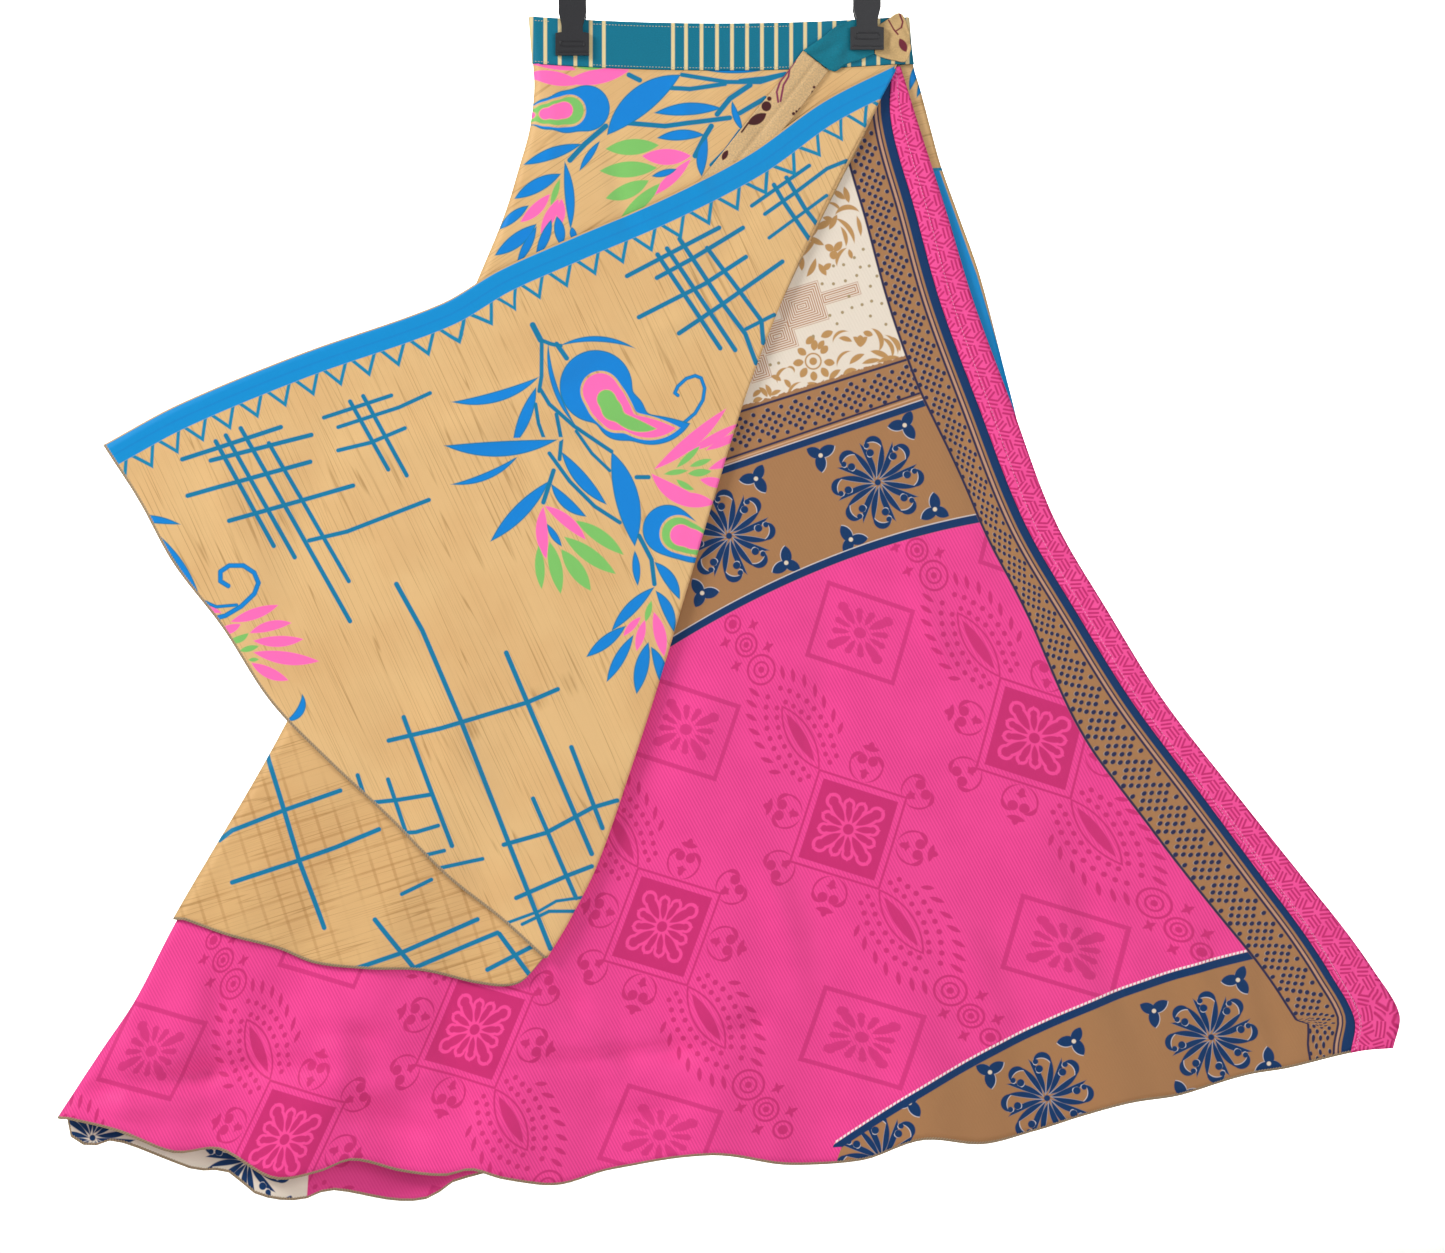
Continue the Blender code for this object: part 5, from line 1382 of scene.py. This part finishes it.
def striped(away, colour, rows):
    """Stripes parallel to a line: (from, to, colour), by the distance beyond it."""
    for low, high, tone in rows:
        middle = sums("SUBTRACT", away, (low + high) / 2)
        colour = printed(colour, tone, ink(outline_of(middle, high - low)))
    return colour


def curved_edge(spot, a, b, c, slope):
    """Distance below a curve across² a + across b + c, in mm, measured square to its usual slope."""
    across = node("SeparateXYZ", [spot])
    step = node("Math MULTIPLY_ADD", [across, a, b])
    height = node("Math MULTIPLY_ADD", [across, step, c])
    below = sums("SUBTRACT", across.node.outputs[1], height)
    return sums("MULTIPLY", below, math.cos(math.atan(slope)))


print("cream panel:", len(CREAM_LEAVES), "leaves and", len(CREAM_DOTS), "dots")


# %% Pink silk with its end piece
LOW_EDGE = 8.44e-4, -0.5525, 501.8  # the curve of the end piece's lower edge, and of the foot band's
FOOT_EDGE = 6.9e-4, -0.84, 1020.8
BORDER_FOOT, STRIPES_END = 34.0, 14.4  # the border's width at the hem, and of its stripes by the facing
BORDER_CHANGES = (  # up from the hem: (from, to, how much wider it gets)
    (110, 187, 13.7), (187, 377, 5.3), (453, 640, -18.3), (690, 810, 8.0),
)


def foot_band(spot, colour):
    """Brown band with rosettes at the lower right, under a line of white dashes and a navy stripe."""
    bottom = curved_edge(spot, *FOOT_EDGE, -0.5)
    foot = rosette_band(spot, BROWN, (275.5, 908.0), -20.4, 147.0)
    foot = striped(bottom, foot, ((0.9, 7.3, NAVY),))
    colour = printed(colour, foot, ink(sums("SUBTRACT", 0.7, bottom)))
    across = node("SeparateXYZ", [spot])
    dash = node("Math PINGPONG", [across, 1.6])
    dash = sums("MAXIMUM", sums("SUBTRACT", dash, 1.1), outline_of(bottom, 1.7))
    return printed(colour, "EFE6E2", ink(dash))


def end_piece(spot, colour, parts):
    """Brown bands with dots and rosettes between navy stripes, and the cream panel over them."""
    # Its lines run to the upper right, each from place to place; the lowest one is curved
    top = beyond(spot, 17.6, 331.8, 152, 289.8)
    thin = beyond(spot, 5, 372.1, 164.6, 317.5)
    stripe = beyond(spot, 2.5, 381.4, 168, 325.9)
    low = curved_edge(spot, *LOW_EDGE, -0.42)
    band_colour = rosette_band(spot, BROWN, (8.4, 436.0), -19.8, 132.6) if "rosettes" in parts else BROWN
    # The light line just above the navy stripe is a painted highlight, where the raised ink catches the light.
    band_colour = striped(low, band_colour, ((-4.1, -3.2, PAINTED_HIGHLIGHT), (-3.3, 3.2, NAVY)))
    if "dots" in parts:
        along = node("VectorMath DOT_PRODUCT", [spot, (0.951, -0.311, 0)], 1)
        dotted = dotted_band(sums("SUBTRACT", top, 17.2), along, BROWN, 4.0)
        band_colour = printed(band_colour, dotted, ink(thin))
    band_colour = striped(thin, band_colour, ((-0.9, 0.9, THIN_NAVY), (2.2, 3.4, "C79B78")))
    # The light line just above this navy stripe is a painted highlight as well.
    band_colour = striped(stripe, band_colour, ((-3.6, -2.7, PAINTED_HIGHLIGHT), (-2.8, 2.8, NAVY)))
    band_colour = striped(top, band_colour, ((-1.0, 1.0, THIN_NAVY),))
    colour = printed(colour, band_colour, ink(sums("SUBTRACT", low, 3.2)))
    if "cream" not in parts:
        return colour
    ragged = node("TexNoise", {"Vector": spot, "Scale": 0.25, "Detail": 1.0}, 0)
    ragged = node("Math MULTIPLY_ADD", [ragged, 5.0, 1.2])
    return printed(colour, cream_panel(spot), ink(sums("ADD", top, ragged)))


def facing_border(edge, colour):
    """The border along the facing. Its brown band is wider where the cloth was cut on the slant."""
    aside = node("SeparateXYZ", [edge])
    along = aside.node.outputs[1]
    width = BORDER_FOOT
    for start, end, change in BORDER_CHANGES:
        step = node("MapRange", [along, start, end, 0.0, change], interpolation_type="SMOOTHSTEP")
        width = sums("ADD", step, width)
    inner_line = sums("SUBTRACT", aside, width)
    share = sums("DIVIDE", sums("ADD", aside, -STRIPES_END), sums("ADD", width, -STRIPES_END))
    across = node("Math MULTIPLY_ADD", [share, -2 * DOTS_HALF, DOTS_HALF])
    border = dotted_band(across, sums("MULTIPLY", along, -1.0), BROWN, 6.0)
    border = striped(inner_line, border, ((-2.2, 0.0, THIN_NAVY),))
    lines = (-5.0, 7.6, NAVY), (9.5, 10.9, THIN_NAVY), (10.9, 12.9, "B88D74"), (12.9, 14.8, THIN_NAVY)
    border = striped(aside, border, lines)
    return printed(colour, border, ink(inner_line))


def pink_material(parts):
    """Printed georgette; parts says which prints reach the faces that wear it."""
    material, shader, spot, edge, hem = start_material(
        "printed silk georgette, " + ", ".join(parts), 0.6, ("print", "border", "hem"), **SILK_SHINE
    )
    colour, weave = pink_ground(spot)
    if "lattice" in parts:
        colour = pink_motifs(spot, colour)
    if "foot" in parts:
        colour = foot_band(spot, colour)
    if {"rosettes", "dots", "cream", "low"} & set(parts):
        colour = end_piece(spot, colour, parts)
    if "border" in parts:
        colour = facing_border(edge, colour)
    if "hem" in parts:
        colour = overlocked(hem, colour)
    finish_cloth(shader, colour, weave, 0.05)
    return material


def pink_back_material():
    """Behind: the same lattice, and a cream border with navy motifs low at the left."""
    material, shader, spot, hem = start_material(
        "printed silk georgette, back", 0.6, ("print", "hem"), **SILK_SHINE
    )
    colour, weave = pink_ground(spot, "DD4089")
    colour = pink_motifs(spot, colour)
    cream = rosette_band(spot, CREAM, (-398.0, 962.0), 8.0, 132.0)
    colour = printed(colour, cream, ink(box(spot, -600, 1050, 248, 170, 4)))
    colour = overlocked(hem, colour)
    finish_cloth(shader, colour, weave, 0.05)
    return material


print("border of the end piece: from", BORDER_FOOT, "mm wide at the hem")

# %% [markdown]
# ## Facing, waistband and tie
#
# The facing is cut from another pink silk with a woven-basket print: three short bars side by side, in
# three directions by turns. The band's teal silk has cream stripes across it and a cream topstitch near
# both edges. The tie's gold stretch has dark maroon print at its end.

# %% Facing's basket weave
BASKET_STEP, BASKET_ROW = 11.0, 9.4  # between the middles of two bundles, and between two rows of them
BAR_GAP, BAR_HALF, BAR_WIDTH = 3.3, 4.0, 1.6
BASKET = [  # one bundle of three bars for each of three directions, round its own middle
    tuple((c * n - s * BAR_HALF, s * n + c * BAR_HALF, c * n + s * BAR_HALF, s * n - c * BAR_HALF, BAR_WIDTH)
          for n in (-BAR_GAP, 0.0, BAR_GAP))
    for c, s in ((1.0, 0.0), (0.5, 0.866), (0.5, -0.866))
]


def facing_material():
    """Printed silk on a soft interlining; the darker bars are printed over a lighter pink."""
    material, shader, spot, edge, hem = start_material(
        "basket-printed silk", 0.6, ("print", "border", "hem"), **SILK_SHINE
    )
    cloud = node("TexNoise", {"Vector": spot, "Scale": 0.05, "Detail": 2.0}, 0)
    wear = node("MapRange", [cloud, 0.4, 0.65, 0.0, 0.3])
    colour = printed("EE4E97", "DC3A86", wear)
    found = []
    for n, rows in enumerate(BASKET):
        at = repeated(edge, (n * BASKET_STEP, 0), (3 * BASKET_STEP, 0.0), (BASKET_STEP, BASKET_ROW))
        found.append(nearest(at, rows))
    colour = printed(colour, "BE2468", ink(sums("MINIMUM", *found)))
    height = node("TexNoise", {"Vector": spot, "Scale": 0.35, "Detail": 2.0}, 0)
    finish_cloth(shader, colour, height, 0.35)
    return material


print("basket weave: bundles", BASKET_STEP, "mm apart")


# %% Striped teal band
STRIPE = 3.0  # a stripe's width
STRIPES_FROM, STRIPE_STEP = 78.3, 12.3  # from here on to the right, they come at one step
BAND_STRIPES = tuple((x, 0, x, 50, STRIPE) for x in (
    -157, -145.7, -133.6, -120.5, -107.5, -96.6, -38.6, -27.7, -14.7, -1.7, 10.9, 23.5, 36, 47.9, 60.5, 72.2,
))


def band_material():
    """Yarn-dyed silk and cotton: the cream stripes are woven in, so they cross the whole band."""
    material, shader, spot = start_material("striped teal silk", 0.6, ("print",), **SILK_SHINE)
    across = node("SeparateXYZ", [spot])
    past = node("Math GREATER_THAN", [across, STRIPES_FROM - 0.3])
    step = node("Math WRAP", [across, STRIPES_FROM + STRIPE_STEP, STRIPES_FROM])
    rest = outline_of(sums("SUBTRACT", step, STRIPES_FROM + 6.1), STRIPE)
    stripes = ink(nearest(spot, BAND_STRIPES))
    mask = node("Mix", {0: past, 2: stripes, 3: ink(rest)}, data_type="FLOAT")
    grain = node("TexNoise", {"Vector": spot, "Scale": 1.2, "Detail": 2.0}, 0)
    shade = node("MapRange", [grain, 0.35, 0.65, 0.0, 0.35])
    teal = printed("00708A", "005A70", shade)
    finish_cloth(shader, printed(teal, "DCC795", mask), grain, 0.15)
    return material


print("band:", len(BAND_STRIPES), "stripes set by hand, then one every", STRIPE_STEP, "mm")


# %% Tie's prints
GOLD_TIE_PRINT = (  # dark maroon: two seeds, a stroke, and the dotted edge at the right
    (39.7, 76, 4.2), (42.2, 69.7, 1.9), (23.9, 90.8, 39.7, 82.0, 3.6, 4.6), (19, 97.7, 24.6, 90, 1.5),
    (79.6, 60, 1.2), (78.4, 64, 1.1), (77.1, 69.7, 1.5), (75, 73.5, 1.1), (72.5, 76, 1.4), (68, 78.8, 1.6),
    (65, 80.5, 1.2), (62.4, 82.3, 1.4), (3, 121.5, 7.5, 113, 2.6, 2.0),
)
GOLD_TIE_LINES = strokes((  # maroon: a pair of wavy lines
    (1.7, 63.8, 38.2, 57.5, 47.3, 51.2, 55.7, 48.4, 64.1, 49.6, 72.5),
    (1.7, 59.6, 41.7, 58.2, 51.5, 54, 58.5, 52.7, 65.5, 51.5, 71.8),
))
ROOT_PRINT = (
    (142.2, 3.9, 146.4, 11.6, 1.2), (146.4, 11.6, 149.9, 15.8, 1.4), (151.4, -1, 154.1, 5.3, 1.5),
    (154.1, 5.3, 152.7, 10.2, 1.5), (152.7, 10.2, 148.5, 13, 1.2), (151.4, 19.3, 156.9, 30.5, 3.2, 3.2),
)


def tie_material(name, tone, marks, ink_colour="43191C"):
    """Soft silk of the tie, printed with maroon marks."""
    material, shader, spot = start_material(name, 0.6, ("print",), **SILK_SHINE)
    grain = node("TexNoise", {"Vector": spot, "Scale": 0.7, "Detail": 3.0}, 0)
    shade = node("MapRange", [grain, 0.35, 0.7, 0.0, 0.3])
    colour = printed(tone, "8E6A4A" if tone[0] == "C" else "034E5C", shade)
    for rows, mark_ink in zip(marks, (ink_colour, "7E2C4E")):
        colour = motif(spot, colour, rows, mark_ink)
    finish_cloth(shader, colour, grain, 0.15)
    return material


print("tie:", len(GOLD_TIE_PRINT) + len(GOLD_TIE_LINES) + len(ROOT_PRINT), "marks")


# %% Hanger's plastic and wire
def plain_material(name, tone, roughness, metallic=0.0, grain=0.0):
    """A hard material; moulded plastic has a fine grain, drawn wire a plain shine."""
    material, shader = start_material(name, roughness, (), Metallic=metallic)
    spot = node("TexCoord", output=3, tree=shader.id_data)
    noise = node("TexNoise", {"Vector": spot, "Scale": 900.0, "Detail": 1.0}, 0)
    shade = node("MapRange", [noise, 0.3, 0.7, 0.0, 0.25])
    shader.id_data.links.new(printed(tone, "000000", shade), shader.inputs["Base Color"])
    bump = node("Bump", {"Height": noise, "Strength": grain, "Distance": 0.0002})
    shader.id_data.links.new(bump, shader.inputs["Normal"])
    return material


print("hard materials: moulded plastic, drawn wire and sewing thread")

# %% [markdown]
# ## Dressing the pieces
#
# Each piece gets its materials and says which CAD solid it stands for. The two silks get several
# materials each, one for the faces that a set of prints reaches, because Cycles works out every shape
# of a material wherever light meets it.

# %% Dress the pieces
def dress(obj, slot_name, materials, *nodes):
    """The piece gets its materials, rides on the one body and stands for its CAD solids."""
    for material in materials:
        obj.data.materials.append(material)
    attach(obj, "root")
    if nodes:
        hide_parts(*nodes)


def faces_of(obj):
    """Each face's middle on the three maps in mm, and the slot that its stretch gave it."""
    mesh, maps = obj.data, []
    for name in ("print", "border", "hem"):
        flat = np.empty(len(mesh.loops) * 2, np.float32)
        mesh.uv_layers[name].data.foreach_get("uv", flat)
        maps.append(flat.reshape(-1, 4, 2).mean(axis=1) / MM)
    slots = np.empty(len(mesh.polygons), np.int32)
    mesh.polygons.foreach_get("material_index", slots)
    return (*maps, slots)


def outer_silks():
    """The corner in six tiles, the front in two, then the back. Returns materials, and a slot for each face."""
    (across, drop), slots = faces_of(outer)[0].T, faces_of(outer)[3]
    columns, rows = (-700, -290, -110, 300), (0, 430, 1000)
    chosen, materials = np.zeros_like(slots), []
    for left, right in zip(columns, columns[1:]):
        for top, foot in zip(rows, rows[1:]):
            here = (slots == 0) & (across >= left) & (across < right) & (drop >= top) & (drop < foot)
            chosen[here] = len(materials)
            materials.append(flap_material((left, top, right, foot)))
    for top, foot, turn, tone, plaid in ((0, 420, -55, "D9B27B", 0), (420, 1000, -73, "D2A972", 0.45)):
        chosen[(slots == 1) & (drop >= top) & (drop < foot)] = len(materials)
        materials.append(front_material((-700, top, 700, foot), turn, tone, plaid))
    chosen[slots >= 2] = len(materials)
    return materials + [back_material()], chosen


def inner_silks():
    """One material for each set of prints that reach a face. Returns materials, and a slot for each face."""
    (across, drop), (aside, _), (_, up), slots = [m.T for m in faces_of(inner)[:3]] + [faces_of(inner)[3]]
    low = drop - np.polyval(LOW_EDGE, across)
    bottom = drop - np.polyval(FOOT_EDGE, across)
    middle = across > -80
    tests = {
        "lattice": (~middle | (low > -10)) & (aside > 20) & ((bottom < 12) | (across < 100)),
        "foot": (bottom > -14) & (across > 100),
        "low": middle & (np.abs(low) < 16) & (aside > 20),
        "rosettes": middle & (low < 10) & (low > -135) & (aside > 20),
        "dots": middle & (low < -90) & (low > -210) & (aside > 20),
        "cream": middle & (low < -125) & (aside > 20),
        "border": aside < 64,
        "hem": up < 8,
    }
    chosen, materials = np.zeros_like(slots), []
    names = list(tests)
    code = sum((test & (slots == 0)).astype(int) << n for n, test in enumerate(tests.values()))
    for value in np.unique(code[slots == 0]):
        chosen[(slots == 0) & (code == value)] = len(materials)
        materials.append(pink_material([name for n, name in enumerate(names) if value >> n & 1]))
    chosen[slots == 1] = len(materials)
    return materials + [pink_back_material()], chosen


outer_materials, outer_slots = outer_silks()
inner_materials, inner_slots = inner_silks()
print("silks:", len(outer_materials), "gold and", len(inner_materials), "pink")
basket_silk, teal_stripes = facing_material(), band_material()
teal_tie = tie_material("teal silk of the tie", "027185", ())
gold_tie = tie_material("gold silk of the tie", "D2AE7C", (GOLD_TIE_PRINT, GOLD_TIE_LINES))
root_silk = tie_material("gold silk at the tie's root", "C8A874", (ROOT_PRINT,), "6E2233")
dress(outer, "gold_silk", outer_materials, "outer_layer")
dress(inner, "pink_silk", inner_materials, "inner_layer")
outer.data.polygons.foreach_set("material_index", outer_slots)
inner.data.polygons.foreach_set("material_index", inner_slots)
dress(facing, "facing_silk", [basket_silk], "front_edge_facing")
dress(band, "teal_silk", [teal_stripes], "waistband")
dress(band_stitches, "teal_silk", [plain_material("cream sewing thread", "D8CBA6", 0.7)])
dress(facing_stitches, "facing_silk", [plain_material("pink sewing thread", "F29AC4", 0.7)])
black_plastic = plain_material("moulded black plastic", "232327", 0.42, 0.0, 0.2)
steel_wire = plain_material("drawn and plated steel wire", "B9BBBD", 0.3, 1.0, 0.05)
for rim in rims:
    dress(rim, "black_plastic", [black_plastic])
for name, finish in (("clip_left", black_plastic), ("clip_right", black_plastic), ("hanger_bar", steel_wire),
                     ("hanger_hook", steel_wire)):
    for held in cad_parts[name].material_slots:
        held.material = finish
dress(tie_teal, "teal_silk", [teal_tie], "tie_teal_stretch")
dress(tie_gold, "gold_silk", [gold_tie], "tie_gold_stretch")
dress(tie_root, "gold_silk", [root_silk], "tie_root_wrap")

# %% [markdown]
# ## Studio
#
# The photo shows the skirt cut out on plain white. A seamless paper sweep under soft light gives the same
# ground, and its wall stands far back, so that the skirt can also be looked at from behind.

# %% Studio and camera
def light(name, where, aim, size, power):
    lamp = bpy.data.lights.new(name, "AREA")
    lamp.shape, lamp.size, lamp.energy = "SQUARE", size, power
    obj = placed(name, lamp)
    obj.location = where
    obj.rotation_euler = (Vector(aim) - Vector(where)).to_track_quat("-Z", "Y").to_euler()


def sweep():
    """A seamless paper sweep: floor, curve and wall in one strip, far enough off for a look from behind."""
    paper = bmesh.new()
    bmesh.ops.create_grid(paper, x_segments=2, y_segments=48, size=1)
    floor, curve, wall = 7.7, 0.9, 3.0  # how long each part is, in metres; the curve by its radius
    half_width, near_edge, level = 4.0, -2.6, -1.36
    for vert in paper.verts:
        t = (vert.co.y + 1) / 2
        run = t * (floor + curve * math.pi / 2 + wall)
        if run < floor:
            y, z = run, 0.0
        elif run < floor + curve * math.pi / 2:
            a = (run - floor) / curve
            y, z = floor + curve * math.sin(a), curve * (1 - math.cos(a))
        else:
            y, z = floor + curve, curve + run - floor - curve * math.pi / 2
        vert.co = vert.co.x * half_width, y + near_edge, z + level
    return solid_of("paper_sweep", paper, smooth=True)


paper = sweep()
paper.data.materials.append(start_material("matt white paper", 0.9, (), Base_Color=linear("F4F4F2"))[0])
light("soft_key", (-2.7, -1.6, 1.2), (0, 0, -0.7), 1.3, 106)
light("soft_fill", (1.6, -3.0, 0.0), (0, 0, -0.7), 2.0, 52)
light("wall_light", (0, 2.6, 1.9), (0, 6.0, -0.3), 2.4, 420)
world = bpy.data.worlds.new("studio air")
world.use_nodes = True
air = world.node_tree.nodes["Background"].inputs
air["Color"].default_value, air["Strength"].default_value = (1, 1, 1, 1), 0.18
bpy.context.scene.world = world
bpy.context.scene.view_settings.view_transform = "Standard"

camera_data = bpy.data.cameras.new("photo_camera")
camera_data.sensor_width, camera_data.lens = 36.0, 103.8
camera = placed("photo_camera", camera_data)
camera.location = (0.0029, -3.5, -0.667)
camera.rotation_euler = (math.radians(90), 0, 0)
bpy.context.scene.camera = camera
print("camera", tuple(camera.location), "lens", camera_data.lens, "mm")

# %% Finish
bpy.context.view_layer.update()
